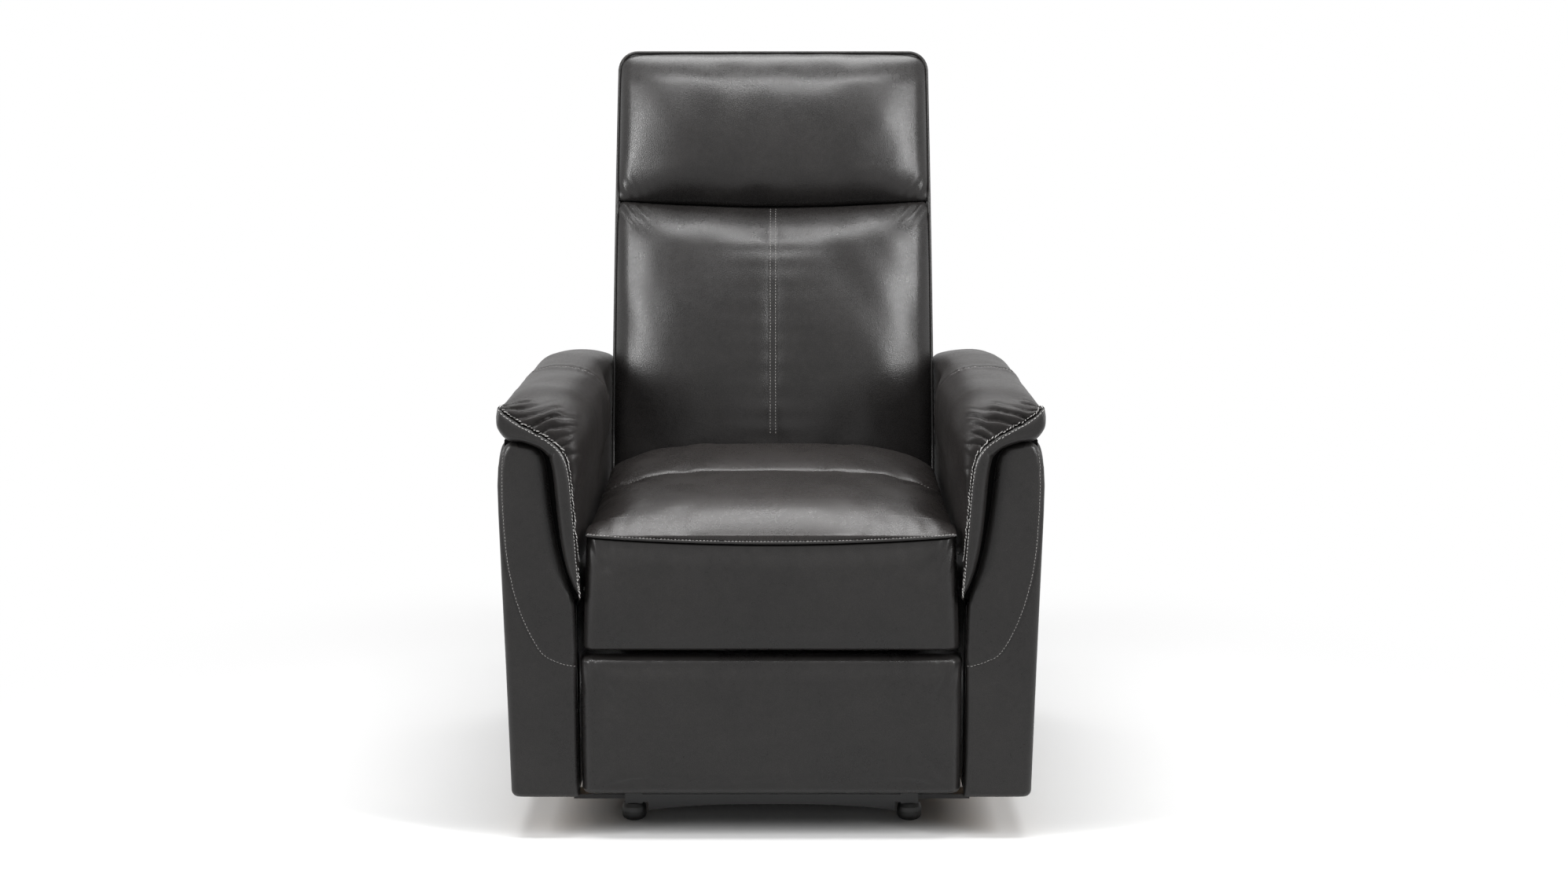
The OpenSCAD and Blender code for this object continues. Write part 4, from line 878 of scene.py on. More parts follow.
def seatForm(values):
    # ring whose x and z are powers of the cosine and sine of the angle, carried from front to rear; its
    # top follows the rise looked up along the seat, its lower half the seam in front and a flat behind
    t = stations(*values["rows"])[:, None]
    a = np.linspace(0, 2 * math.pi, values["around"], endpoint=False)[None, :]
    y = values["front"] + t * values["depth"]
    half = chair["seatWidth"] / 2 * table(t, widthShares, 0.006)
    rise = table(t, riseShares, 0.01) - 0.03 * bell(t, values["crossSeam"], 0.006)
    top = chair["seamHeight"] + values["rise"] * rise
    cx, cz = power(np.cos(a), values["power"]), power(np.sin(a), values["power"])
    x = half * cx
    nose = t < values["noseStep"]
    low = np.where(nose, seamZ(x) + 0.3, values["under"])
    crown = np.maximum(top - values["edgeDrop"] * np.abs(cx) ** 4 * np.minimum(1, 6 * t), seamZ(x) + 2.4)
    mid = np.where(nose, low + (crown - low) * 0.35, seamZ(half) - 4)
    z = np.where(cz > 0, mid + cz * (crown - mid), mid + cz * (mid - low))
    lift = np.clip(cz, 0, 1) ** 0.5 * ramp(t, 0.01, 0.12)
    z = z + 1.1 * ripple(x / 489, y / 489 * 0.7, 31) * lift
    # pulls towards the cross seam and the front seam
    z = z + 0.55 * lift * bell(t, values["crossSeam"], 0.05) * np.sin(x * 0.16 + 0.8 * np.sin(x * 0.05))
    z = z + 0.3 * np.clip(cz, 0, 1) * bell(t, 0.035, 0.03) * np.sin(x * 0.23 + 1.1 * np.sin(x * 0.037))
    grid = gridPoints(x, y, z)
    coarse = grid[::2, ::2]
    atSeam = np.abs(t[::2] - values["crossSeam"]) < 0.005
    held = np.where((cz[:, ::2] < 0.05) | (t[::2] < 0.004) | (t[::2] > 0.985) | atSeam, 1.0, 0.0)
    caps = [np.repeat(ring.mean(0)[None, None], coarse.shape[1], 1) for ring in (coarse[0], coarse[-1])]
    shift = blownUp("seat", [(coarse, True), (np.concatenate([caps[0], coarse[:1]]), True),
                             (np.concatenate([coarse[-1:], caps[1]]), True)],
                    [held, np.ones((2, coarse.shape[1])), np.ones((2, coarse.shape[1]))], values["blow"])
    grid = grid + between(shift, True)
    ends = [np.repeat(ring.mean(0)[None, None], values["around"], 1) for ring in (grid[0], grid[-1])]
    ends[0][..., 1], ends[1][..., 1] = grid[0, 0, 1], grid[-1, 0, 1]
    return joined((np.concatenate([ends[0], grid, ends[1]]), True))


# the seat wears the lighter leather: painted light from above on its upward face
seat = makePiece("seat_pillow", *seatForm(seatValues), "seat", litSeatLeather, "bonded_leather_cushion")
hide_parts("seat_cushion")
weltValues = {"radius": 2.0, "around": 10, "rows": 160, "inset": 1.5, "proud": 0.4, "lift": 1.4,
              "endTurn": 5}
weltX = np.linspace(-1, 1, weltValues["rows"]) * (chair["seatWidth"] / 2 - weltValues["inset"])
weltY = seatValues["front"] + weltValues["proud"] + weltValues["endTurn"] * np.abs(weltX / 244) ** 30
weltPath = gridPoints(weltX, weltY, seamZ(weltX) + weltValues["lift"])
weltTube = tubeGrid(weltPath, weltValues["radius"], weltValues["around"])
welt = makePiece("seat_front_welt", *joined((weltTube, True)), "seat", coverLeather, "bonded_leather_cover")
print("seat cushion:", len(seat.data.vertices))


borderValues = {"low": 258.6, "thick": 38.6, "bulge": 9, "half": 244.5, "flare": 7, "rollTop": 3,
                "rollLow": 8, "rollSide": 20, "corner": 8, "topCorner": 3, "cols": 171, "rows": 91,
                "seed": 41,
                "blow": {"pressure": 2, "slack": 0.0, "cap": 3, "bend": 5.0, "soften": 0}}
footValues = {"low": 60.4, "high": 253.6, "thick": 37.6, "bulge": 8, "half": 254.6, "flare": 0, "rollTop": 9,
              "rollLow": 14, "rollSide": 18, "corner": 11, "topCorner": 9, "cols": 181, "rows": 97,
              "seed": 43,
              "blow": {"pressure": 2, "slack": 0.0, "cap": 3, "bend": 5.0, "soften": 0}}


def frontPanel(values, topEdge):
    # front face: the thickness and a parabolic bulge times a quarter-circle roll from each edge, up to
    # a top edge given as height over x; rear face: the same outline, flat on its board
    u = spaced(values["cols"], 0.75)[None, :]
    v = spaced(values["rows"], 0.8)[:, None]
    share = (1 + v) / 2
    r = np.where(v > 0, values["topCorner"], values["corner"])
    tall = topEdge(values["half"] * u) - values["low"]
    toEnd = tall / 2 * (1 - np.abs(v))
    cornerIn = r - np.sqrt(np.clip(r * r - np.clip(r - toEnd, 0, r) ** 2, 0, None))
    half = values["half"] + values["flare"] * (1 - share) - cornerIn
    x = half * u
    z = values["low"] + tall * share
    toSide = half * (1 - np.abs(u))
    puff = (roll(toSide, values["rollSide"]) ** 0.8 * roll(z - values["low"], values["rollLow"]) ** 0.8
            * roll(topEdge(x) - z, values["rollTop"]) ** 0.8)
    body = 0.62 * values["thick"] * puff
    dome = values["bulge"] * (1 - (2 * share - 1) ** 2) ** 0.6 * (1 - 0.25 * u ** 4) * puff
    deep = body + dome + 0.38 * values["thick"] * np.minimum(1, 3 * puff)
    deep = deep + 0.7 * ripple(x / 500, z / 400, values["seed"], 0.4, 1.9, 6) * puff
    # short pulls under the upper edge
    pull = bell(share, 0.93, 0.1) * puff
    deep = deep + 0.5 * pull * np.sin(x * 0.21 + 1.3 * np.sin(x * 0.031))
    # gathers in the upper corners
    gather = bell(toSide, 12, 20) * bell(share, 0.9, 0.16) * puff
    deep = deep + 0.9 * gather * np.sin(toSide * 0.5 + (share - 0.9) * 26)
    front = gridPoints(x, values["thick"] - deep, z)
    rear = front.copy()
    rear[..., 1] = values["thick"]
    held = np.where((np.abs(u) > 0.999) | (np.abs(v) > 0.999), 1.0, 0.0)[::2, ::2]
    shift = blownUp("panel", [(front[::2, ::2], False), (rear[::2, ::2], False)], [held, np.ones_like(held)],
                    values["blow"])
    calm = ramp(toSide, 4, 45) * ramp(np.minimum(z - values["low"], topEdge(x) - z), 4, 32)
    front = front + between(shift) * calm[..., None]
    return joined((front, False), (rear, False))


border = makePiece("seat_border_pad", *frontPanel(borderValues, lambda x: seamZ(x) - 0.3), "seat",
                   coverLeather, "bonded_leather_cushion")
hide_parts("seat_front_border")
footPad = makePiece("footrest_pillow", *frontPanel(footValues, lambda x: footValues["high"] + 0 * x),
                    "footrest", coverLeather, "bonded_leather_cushion")
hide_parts("footrest_pad")
print("front pads:", len(border.data.vertices), len(footPad.data.vertices))


padValues = {
    "inner": 251, "width": 105, "low": 322, "height": 282, "bulge": 17, "spans": 10,
    "frontStart": 92, "front": -6, "rearStart": 655, "rear": 693.6, "seamY": 295, "seamZone": 12,
    "rows": (44, 25, 84), "frontRows": 60, "rearRows": 18, "seamDip": 3.2, "swell": 1.2, "pulls": 0.45,
    "pucker": 3.9, "puckers": 15.5, "lean": 6.6, "seed": {"left": 6, "right": 8},
}
# outline of the pad: share across, share up, share of the bulge, then where it meets the front seam
padOutline = np.array([
    [0.905, 0.791, 0, 350, 560], [0.981, 0.819, 0, 353.5, 571], [1, 0.869, 0, 354.5, 580],
    [0.971, 0.929, 0, 352, 586.5], [0.867, 0.972, 0, 345.5, 581], [0.695, 0.994, 0, 331, 570.5],
    [0.467, 1, 0, 312, 560], [0.257, 0.992, 0, 297, 551.5], [0.086, 0.965, 0.05, 286.5, 544.5],
    [0, 0.915, 0.5, 278, 537], [0, 0.844, 0.92, 271, 528], [0, 0.759, 1, 266, 515],
    [0, 0.667, 0.9, 263, 497], [0, 0.567, 0.45, 261, 474], [0, 0.468, 0.08, 259.2, 448],
    [0.005, 0.348, 0, 256.8, 413], [0.02, 0.206, 0, 254.4, 376], [0.045, 0.082, 0, 252.4, 348],
    [0.06, 0, 0, 251.5, 334]])
# inner side of the pad, where it lies on the box, from the outer lip round to the lower end
padInside = [[343, 545.5], [342.6, 558], [330, 558], [300, 558], [272, 558], [262, 555], [261.6, 520],
             [261.6, 470], [261.6, 420], [261.6, 370], [261.6, 330], [260.4, 323.5]]
bulgeShares = [[0, 0.25], [0.06, 0.6], [0.14, 1], [0.47, 1], [0.57, 0.05], [1, 0]]
crownShares = [[0, 0.86], [0.05, 0.97], [0.1, 1], [0.66, 1], [0.74, 0.93], [0.82, 0.84], [0.9, 0.74],
               [0.96, 0.66], [1, 0.55]]


def armPad(values, side, seed):
    # body: an outline of table values, smoothed, whose bulge and crown are looked up along the arm;
    # front end: each point of the outline falls to the seam by one less a power of a cosine while y runs
    # by a sine, with puckers of height one less twice a power of a sine; the rear end is the same, plain
    weights = curveWeights(len(padOutline), values["spans"])
    s = np.linspace(0, 1, len(weights))[None, :]
    inside = np.array(padInside, float)
    length = np.concatenate([[0], np.cumsum(np.linalg.norm(np.diff(inside, axis=0), axis=1))])
    place = s[0] * length[-1]
    inner = np.stack([np.interp(place, length, inside[:, axis]) for axis in (0, 1)], -1)
    seamY, zone = values["seamY"], values["seamZone"]
    ends = (values["frontStart"], seamY - zone, seamY + zone, values["rearStart"])
    y = stations(*zip(ends[:-1], ends[1:], values["rows"]))
    share = y / chair["armLength"]
    bulge = values["bulge"] * table(share, bulgeShares, 0.03)
    crown = table(share, crownShares, 0.02)
    up = padOutline[:, 1][None]
    up = np.where(up > 0.8, 0.8 + (up - 0.8) * crown[:, None], up)
    across = values["inner"] + padOutline[:, 0][None] * values["width"]
    across = across - bulge[:, None] * padOutline[:, 2][None]
    x, z = across @ weights.T, (values["low"] + up * values["height"]) @ weights.T
    onTop = ramp(s, 0.1, 0.2) * (1 - ramp(s, 0.62, 0.85))
    calm = ramp(y, values["frontStart"], values["frontStart"] + 40)[:, None]
    dip = values["seamDip"] * bell(y, seamY, 3.0)[:, None] * onTop
    swell = values["swell"] * (bell(y, seamY - 14, 12) + bell(y, seamY + 14, 12))[:, None] * onTop
    pulls = values["pulls"] * bell(y, seamY, 20)[:, None] * onTop * np.sin(s * 150 + 2 * np.sin(s * 31))
    loose = calm * (0.9 * ripple(y[:, None] / 694, s, seed, 1.5, 6) * onTop + pulls) + swell - dip
    z = z + loose * (1 - ramp(s, 0.4, 0.52))
    x = x - loose * 0.7 * ramp(s, 0.4, 0.52)
    body = gridPoints(x, y[:, None], z)
    innerRows = gridPoints(inner[None, :, 0], y[:, None], inner[None, :, 1])
    seam = np.stack([weights @ padOutline[:, 3], weights @ padOutline[:, 4]], -1)

    # front roll, gathered beside the seam
    quarter = 1.571
    turn = np.linspace(0, 1, values["frontRows"])[1:, None] * math.pi / 2
    outline = np.stack([x[0], z[0]], -1)
    fall = 1 - np.cos(turn) ** 0.9
    front = outline[None] + fall[..., None] * (seam - outline)[None]
    depth = values["front"] + (values["frontStart"] - values["front"]) * (1 - np.sin(turn)) + 0 * s
    lane = s * values["puckers"] + 0.16 * np.sin(s * 37 + seed) + 0.04 * np.sin(s * 83 + seed)
    slanted = lane - values["lean"] * (1 - turn / quarter) ** 1.3 * (1 - 0.7 * ramp(s, 0.5, 0.62))
    strong = 0.3 + 0.7 * ramp(s, 0.15, 0.2) * (1 - 0.55 * ramp(s, 0.4, 0.52))
    strong = strong * (0.35 + 0.8 * np.abs(np.sin(slanted * 0.93 + 0.6 + seed * 0.4)))
    reach = 0.62 + 0.12 * np.sin(s * 61 + seed) + 0.45 * ramp(s, 0.46, 0.58)
    where = ramp(turn, reach, reach + 0.6) * ramp(s, 0.13, 0.17) * (1 - ramp(s, 0.8, 0.93))
    crease = 1 - 2 * np.abs(np.sin(slanted * math.pi)) ** 0.6
    height = -values["pucker"] * crease * strong * where
    height = height - 2.2 * ramp(turn, 1.45, quarter) * ramp(s, 0.12, 0.17)
    tangent = np.gradient(outline, axis=0)
    tangent /= np.linalg.norm(tangent, axis=1)[:, None]
    outward = np.stack([-tangent[:, 1], tangent[:, 0]], -1)
    outward *= np.sign((outward * (outline - seam)).sum(1))[:, None]
    front = front + height[..., None] * outward[None] * np.cos(turn * 0.8)[..., None]
    depth = depth - height * np.sin(turn) * 0.8
    rollRows = gridPoints(front[..., 0], depth, front[..., 1])
    tuckIn = gridPoints(seam[:, 0] * 0.6 + inner[:, 0] * 0.4, values["front"] + 13,
                        seam[:, 1] * 0.6 + inner[:, 1] * 0.4)

    # rear roll, closed on a flat end
    turn = np.linspace(0, 1, values["rearRows"])[1:, None] * math.pi / 2
    outline = np.stack([x[-1], z[-1]], -1)
    seam = 0.6 * outline + 0.4 * inner
    rear = outline[None] + (1 - np.cos(turn))[..., None] * (seam - outline)[None]
    depth = values["rearStart"] + (values["rear"] - values["rearStart"]) * np.sin(turn)
    rearRows = gridPoints(rear[..., 0], depth, rear[..., 1])
    closing = gridPoints(inner[None, :, 0], values["rear"] - 1.5, inner[None, :, 1])

    ring = np.concatenate([body, innerRows[:, ::-1]], 1)
    frontGrid = np.concatenate([body[:1], rollRows, tuckIn[None], innerRows[:1]])
    rearGrid = np.concatenate([body[-1:], rearRows, closing, innerRows[-1:]])
    return joined((mirrored(ring, side), True), (mirrored(frontGrid, side), False),
                  (mirrored(rearGrid, side), False))


# band below and beside the gathered seam: where it starts at the seam and where its far edge lies
bandSeam = [[353, 587.5], [350, 584], [345.5, 579.5], [331, 569], [312, 558.5], [297, 550], [286.5, 543],
            [278, 535.5], [271, 526.5], [266, 514], [263, 496.5], [261, 474], [259.2, 448], [256.8, 413],
            [254.4, 376], [252.4, 348], [251.5, 334]]
bandEdge = [[357, 586], [359, 573], [357, 558], [345, 543.5], [327, 540.5], [308, 534.5], [297, 527.5],
            [290.5, 519], [287.6, 508], [285.8, 496], [284.4, 480], [282.6, 458], [280.4, 434], [276.4, 402],
            [270, 372], [262, 349], [254, 331]]
bandValues = {"front": -4.2, "puff": 6.5, "rows": 40, "wrapRows": 8, "spans": 12, "back": 26,
              "edgeRoll": 11, "turnedBack": 10, "corner": 3.0, "fold": 1.1, "endBack": 7,
              "shadeSheet": {"start": 34, "inwards": -9, "outwards": 17, "rows": 9, "y": 13.5, "most": 350}}


def endBand(values, side):
    # straight between seam and far edge, puffed out by a power of a sine across, its far edge rolled by
    # a quarter circle and turned in behind
    near, far = smoothPath(bandSeam, values["spans"]), smoothPath(bandEdge, values["spans"])
    t = np.linspace(0, 1, len(near))[None, :]
    k = np.linspace(0, 1, values["rows"])[:, None]
    flat = near[None] + (far - near)[None] * k[..., None]
    wide = np.linalg.norm(far - near, axis=1)[None]
    puff = values["puff"] * (0.55 + 0.45 * ramp(wide, 8, 30)) * (np.sin(math.pi * k ** 0.8) ** 0.7)
    late = 1 - roll((1 - k) * wide, values["edgeRoll"])
    corner = bell(t, 0.435, 0.016) * values["corner"] * ramp(k, 0.2, 0.9)
    fold = values["fold"] * np.sin(7 * k + 16 * t + 1.5 * np.sin(9 * t))
    fold = fold * (1 - ramp(t, 0.34, 0.46)) * np.sin(math.pi * k)
    y = values["front"] - puff + values["turnedBack"] * late + corner + fold
    front = gridPoints(flat[..., 0], y + ramp(t, 0.93, 1.0) * values["endBack"], flat[..., 1])
    turnIn = np.linspace(0.1, 1, values["wrapRows"])[:, None]
    centre = (near * 0.35 + far * 0.65)[None]
    wrap = far[None] + (centre - far[None]) * 0.35 * turnIn[..., None]
    wrapY = front[-1, :, 1][None] + (values["back"] - front[-1, :, 1][None]) * turnIn
    behind = gridPoints(wrap[..., 0], wrapY, wrap[..., 1])
    first = gridPoints(near[None, :, 0], values["back"] * 0.8, near[None, :, 1])
    return joined((mirrored(np.concatenate([first, front, behind]), side), False))


def bandShadeSheet(values, side):
    # flat near-black strip square to the band's far edge, just before the arm's frame, that closes the
    # crease with painted shade
    far = smoothPath(bandEdge, bandValues["spans"])[values["start"]:]
    along = np.gradient(far, axis=0)
    along /= np.linalg.norm(along, axis=1)[:, None]
    outward = np.stack([np.abs(along[:, 1]), -np.abs(along[:, 0])], -1)
    steps = np.linspace(values["inwards"], values["outwards"], values["rows"])[:, None, None]
    flat = far[None] + steps * outward[None]
    strip = gridPoints(np.minimum(flat[..., 0], values["most"]), values["y"], flat[..., 1])
    return joined((mirrored(strip, side), False))


pads = {}
for side, word in sides:
    pad = makePiece("arm_pillow_" + word, *armPad(padValues, side, padValues["seed"][word]), "base",
                    padLeather, "bonded_leather_cushion")
    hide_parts("arm_pad_" + word)
    band = makePiece("arm_band_" + word, *endBand(bandValues, side), "base", coverLeather,
                     "bonded_leather_cover")
    # near-black strip in the crease beside the band: painted shade
    makePiece("arm_crease_shade_sheet_" + word, *bandShadeSheet(bandValues["shadeSheet"], side), "base", paintedShadeCloth,
              "black_backing_cloth")
    pads[word] = (pad, band)
print("arm pads:", len(pads["left"][0].data.vertices))


facingValues = {"thick": 14, "edge": 10, "innerRoll": 27, "corner": 10, "puff": 2.4, "cols": 80, "rows": 220,
                "rim": 0.35, "seamDip": 1.7, "seamSwell": 0.8}
# edges of the facing: share of the height, share of the width; and the sewn line: x, z
facingOuter = [[0, 0.925], [0.376, 0.972], [0.8, 1.032], [0.88, 1.037], [0.93, 1.022], [0.965, 0.985],
               [0.989, 0.92], [0.998, 0.86], [1, 0.80]]
facingInner = [[0, 0.004], [0.5, 0.012], [0.545, 0.025], [0.572, 0.045], [0.606, 0.102], [0.645, 0.165],
               [0.703, 0.235], [0.8125, 0.32], [0.86, 0.345], [0.92, 0.373], [0.94, 0.385], [0.963, 0.42],
               [0.98, 0.48], [0.991, 0.5765], [0.998, 0.68], [1, 0.77]]
facingStitch = [[352, 529], [354.5, 505], [354.5, 451], [349, 377], [334, 314], [309, 262], [286, 246],
                [262, 239]]


def facing(values, side):
    # front face between its two edges at every height: the thickness times quarter-circle rolls from its
    # edges, with a bell-shaped groove along the sewn line; rear face flat, and a rim between them
    v = 0.5 + 0.5 * spaced(values["rows"], 0.9)[:, None]
    u = spaced(values["cols"], 0.9)[None, :]
    width = chair["facingWidth"]
    outer = chair["armInner"] + width * table(v, facingOuter, 0.003)
    inner = chair["armInner"] + width * table(v, facingInner, 0.003)
    low, high = chair["armLow"], chair["armHigh"]
    r = values["corner"]
    outer = outer - r + np.sqrt(np.clip(r * r - np.clip(r - (high - low) * v, 0, r) ** 2, 0, None))
    x = (inner + outer) / 2 + (outer - inner) / 2 * u
    z = low + (high - low) * v + 0 * u
    toEnd = np.minimum(z - low, high - z)
    rolled = ramp(z, 330, 380)
    innerRoll = values["edge"] + (values["innerRoll"] - values["edge"]) * rolled
    puff = roll(outer - x, values["edge"]) * roll(x - inner, innerRoll) * roll(toEnd, values["edge"])
    wide = np.clip((outer - inner) / 90, 0, 1)
    rim = values["rim"] - 0.25 * rolled * (u < 0)
    deep = (values["thick"] - 0.5) * (rim + (1 - rim) * puff) + values["puff"] * puff * (1 - u ** 2) * wide
    line = smoothPath(facingStitch)
    seamX = np.interp(z, line[::-1, 1], line[::-1, 0])
    steep = np.clip(np.abs(np.gradient(seamX, z[:, 0], axis=0)), 0, 3)
    off = (x - seamX) / np.sqrt(1 + steep ** 2)
    sewn = ramp(z, 236, 240)
    deep = deep - values["seamDip"] * bell(off, 0, 2.4) * sewn
    deep = deep + values["seamSwell"] * bell(off, -9, 9) * sewn
    deep = deep + 0.5 * ripple(x / 300, z / 500, 61, 0.4, 2.2, 6) * puff
    edgeRow = (np.abs(u) > 0.9999) | (v < 0.0001) | (v > 0.9999)
    front = gridPoints(x, values["thick"] - np.where(edgeRow, values["thick"] * 0.3, deep), z)
    rear = front.copy()
    rear[..., 1] = values["thick"]
    rims = [np.stack([front[0], rear[0]]), np.stack([front[-1], rear[-1]]),
            np.stack([front[:, 0], rear[:, 0]]), np.stack([front[:, -1], rear[:, -1]])]
    return joined(*[(mirrored(part, side), False) for part in [front, rear] + rims])


coverValues = {"wall": 6.4, "round": 14, "rows": 120, "lipRows": 10, "sideRows": 110, "cornerRows": 12,
               "rearRows": 29, "front": 14.4, "lip": 24, "inner": 259.8, "puff": 1.6, "edgeRoll": 9,
               "edgeIn": 4.2, "topRoll": 26, "topIn": 8, "frontRoll": 7, "frontIn": 3.4, "leanBack": 4}


def outerCover(values, side):
    # outline of the wall seen from above, straight, a quarter circle and straight, carried up the arm; it
    # leans out evenly with height, and quarter circles roll its ends in
    low, high, long = chair["armLow"], chair["armHigh"], chair["armLength"]
    v = 0.5 + 0.5 * spaced(values["rows"], 0.75)[:, None]
    z = low + (high - low) * v
    lean = chair["armFlare"] * np.clip(v / 0.8, 0, 1) - values["leanBack"] * ramp(v, 0.9, 1)
    r, first, lip = values["round"], values["front"], values["lip"]
    before, along, across = values["lipRows"], values["sideRows"], values["rearRows"]
    angle = np.linspace(0, math.pi / 2, values["cornerRows"])
    outX = np.concatenate([np.zeros(before + along), -r + r * np.cos(angle), np.full(across, -r)])
    inwards = np.concatenate([np.zeros(before + along + len(angle)),
                              np.linspace(0, 1, across + 1)[1:]])[None]
    outY = np.concatenate([np.linspace(first, lip, before + 1)[:-1],
                           np.linspace(lip, long - r, along + 1)[:-1],
                           long - r + r * np.sin(angle), np.full(across, long)])
    endRoll = roll(np.minimum(z - low, high - z), values["edgeRoll"])
    puff = values["puff"] * np.sin(np.clip((outY - 14) / (long - 14), 0, 1) * math.pi)[None] ** 0.6 * endRoll
    inward = values["edgeIn"] * (1 - endRoll) + values["topIn"] * (1 - roll(high - z, values["topRoll"]))
    flat = (outX > -0.5)[None]
    x = chair["armOuter"] + lean + outX[None] - np.where(flat, inward, 0) + np.where(flat, puff, 0)
    x = x * (1 - inwards) + values["inner"] * inwards
    y = outY[None] - np.where((outY > long - 0.5)[None], inward, 0)
    wave = 0.7 * ripple(outY[None] / 700, z / 700, 71, 0.4, 1.8, 6) * endRoll
    frontRoll = values["frontIn"] * (1 - roll(outY - first, values["frontRoll"]))[None]
    x = x + np.where(flat, wave, 0) - frontRoll * flat
    outside = gridPoints(x, y, z)
    within = gridPoints(np.minimum(outside[..., 0], chair["armOuter"] - values["wall"]),
                        np.minimum(outside[..., 1], long - values["wall"]), z)
    ring = np.concatenate([outside, within[:, ::-1]], 1)
    caps = [np.stack([outside[0], within[0]]), np.stack([outside[-1], within[-1]])]
    return joined((mirrored(ring, side), True), *[(mirrored(part, side), False) for part in caps])


innerValues = {"middleY": 359, "halfLong": 324.6, "middleZ": 189, "halfTall": 128.8, "frame": 261.9,
               "thick": 3.7, "edge": 8, "cols": 120, "rows": 50}


def innerCover(values, side):
    # thin wadded sheet on the inside of the arm: its thickness times a quarter-circle roll from its edge
    u = spaced(values["cols"], 0.6)[None, :]
    v = spaced(values["rows"], 0.7)[:, None]
    y = values["middleY"] + values["halfLong"] * u
    z = values["middleZ"] + values["halfTall"] * v
    toEdge = np.minimum(values["halfLong"] * (1 - np.abs(u)), values["halfTall"] * (1 - np.abs(v)))
    edge = roll(toEdge, values["edge"])
    x = values["frame"] - values["thick"] * edge - 0.3 * ripple(y / 700, z / 500, 75) * edge
    front = gridPoints(x, y, z)
    rear = front.copy()
    rear[..., 0] = values["frame"]
    return joined((mirrored(front, side), False), (mirrored(rear, side), False))


# near-black strips over the frame's corners and along the slots between the covers, painted shade where the
# slots fall
# dark: outline from above as x, y, then the lowest and highest z
edgeStrips = [([(270, 13.6), (261.5, 13.6), (261.5, 38)], 59, 334),
              ([(261.5, 678), (261.5, 688.3), (275, 688.3)], 59, 556),
              ([(261.5, 30), (261.5, 684)], 314, 328),
              ([(343.2, 16), (343.2, 688.3), (262, 688.3)], 534, 556)]


def edgeShadeSheets(side):
    # each outline carried straight up
    strips = []
    for outline, low, high in edgeStrips:
        outline = np.array(outline, float)
        strip = gridPoints(outline[None, :, 0], outline[None, :, 1], np.linspace(low, high, 12)[:, None])
        strips.append((mirrored(strip, side), False))
    return joined(*strips)


facings = {}
for side, word in sides:
    facings[word] = makePiece("arm_facing_" + word, *facing(facingValues, side), "base", coverLeather,
                              "bonded_leather_cover")
    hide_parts("arm_front_panel_" + word)
    cover = makePiece("arm_side_" + word, *outerCover(coverValues, side), "base", coverLeather,
                      "bonded_leather_cover")
    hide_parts("arm_outer_cover_" + word)
    sheet = makePiece("arm_lining_" + word, *innerCover(innerValues, side), "base", coverLeather,
                      "bonded_leather_cover")
    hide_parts("arm_inner_cover_" + word)
    # near-black strips over the frame's corners and slots: painted shade
    makePiece("arm_edge_shade_sheet_" + word, *edgeShadeSheets(side), "base", paintedShadeCloth, "black_backing_cloth")
print("arm covers done")


# sizes of a stitch in millimetres, and how much its turn, place and length vary
stitchValues = {"pitch": 4.6, "length": 3.6, "thick": 1.0, "lift": 0.15, "messy": 0.08, "slant": 0.0,
                "seed": 3}
frontStitch = {**stitchValues, "thick": 1.2, "slant": 0.2}
padStitch = {"pitch": 4.4, "length": 4.8, "thick": 1.45, "lift": 0.45, "messy": 0.24, "slant": 0.35,
             "seed": 11}
bandStitch = {"pitch": 4.8, "length": 3.9, "thick": 1.1, "lift": 0.15, "messy": 0.1, "slant": 0.1,
              "seed": 17}
# where the rows run, and how far beside the seams
seamRuns = {
    "lumbar": {"beside": 4.0, "from": 130, "to": 487},
    "seat": {"half": 238, "crossHalf": 0.97, "cross": 0.6},
    "facing": {"beside": 2.6}, "pad": {"beside": 1.0, "above": 2.2, "from": 6},
    "band": {"beside": 1.6, "below": 2.6, "from": 6, "to": -10},
    "padCross": {"from": 262, "to": 348, "before": 4.5},
}
outFront = -30  # millimetres before the arms, from where the rows are dropped back on to their pieces
run = seamRuns["lumbar"]
rise = np.linspace(run["from"], run["to"], 120)
twin = [leaned(gridPoints(x, -100, rise)) for x in (-run["beside"], run["beside"])]
backward = (0, math.cos(math.radians(chair["lean"])), -math.sin(math.radians(chair["lean"])))
stitches("lumbar_stitches", twin, "back", thread, lumbar, backward, stitchValues)
run = seamRuns["seat"]
across = np.linspace(-run["half"], run["half"], 200)
row = gridPoints(across, seatValues["front"] + 0.2, 470)
stitches("seat_front_stitches", [row], "seat", brightThread, welt, (0, 0.35, -1), frontStitch)
row = gridPoints(across * run["crossHalf"], seatValues["front"] + run["cross"] * seatValues["depth"], 520)
stitches("seat_cross_stitches", [row], "seat", thread, seat, (0, 0, -1), stitchValues)
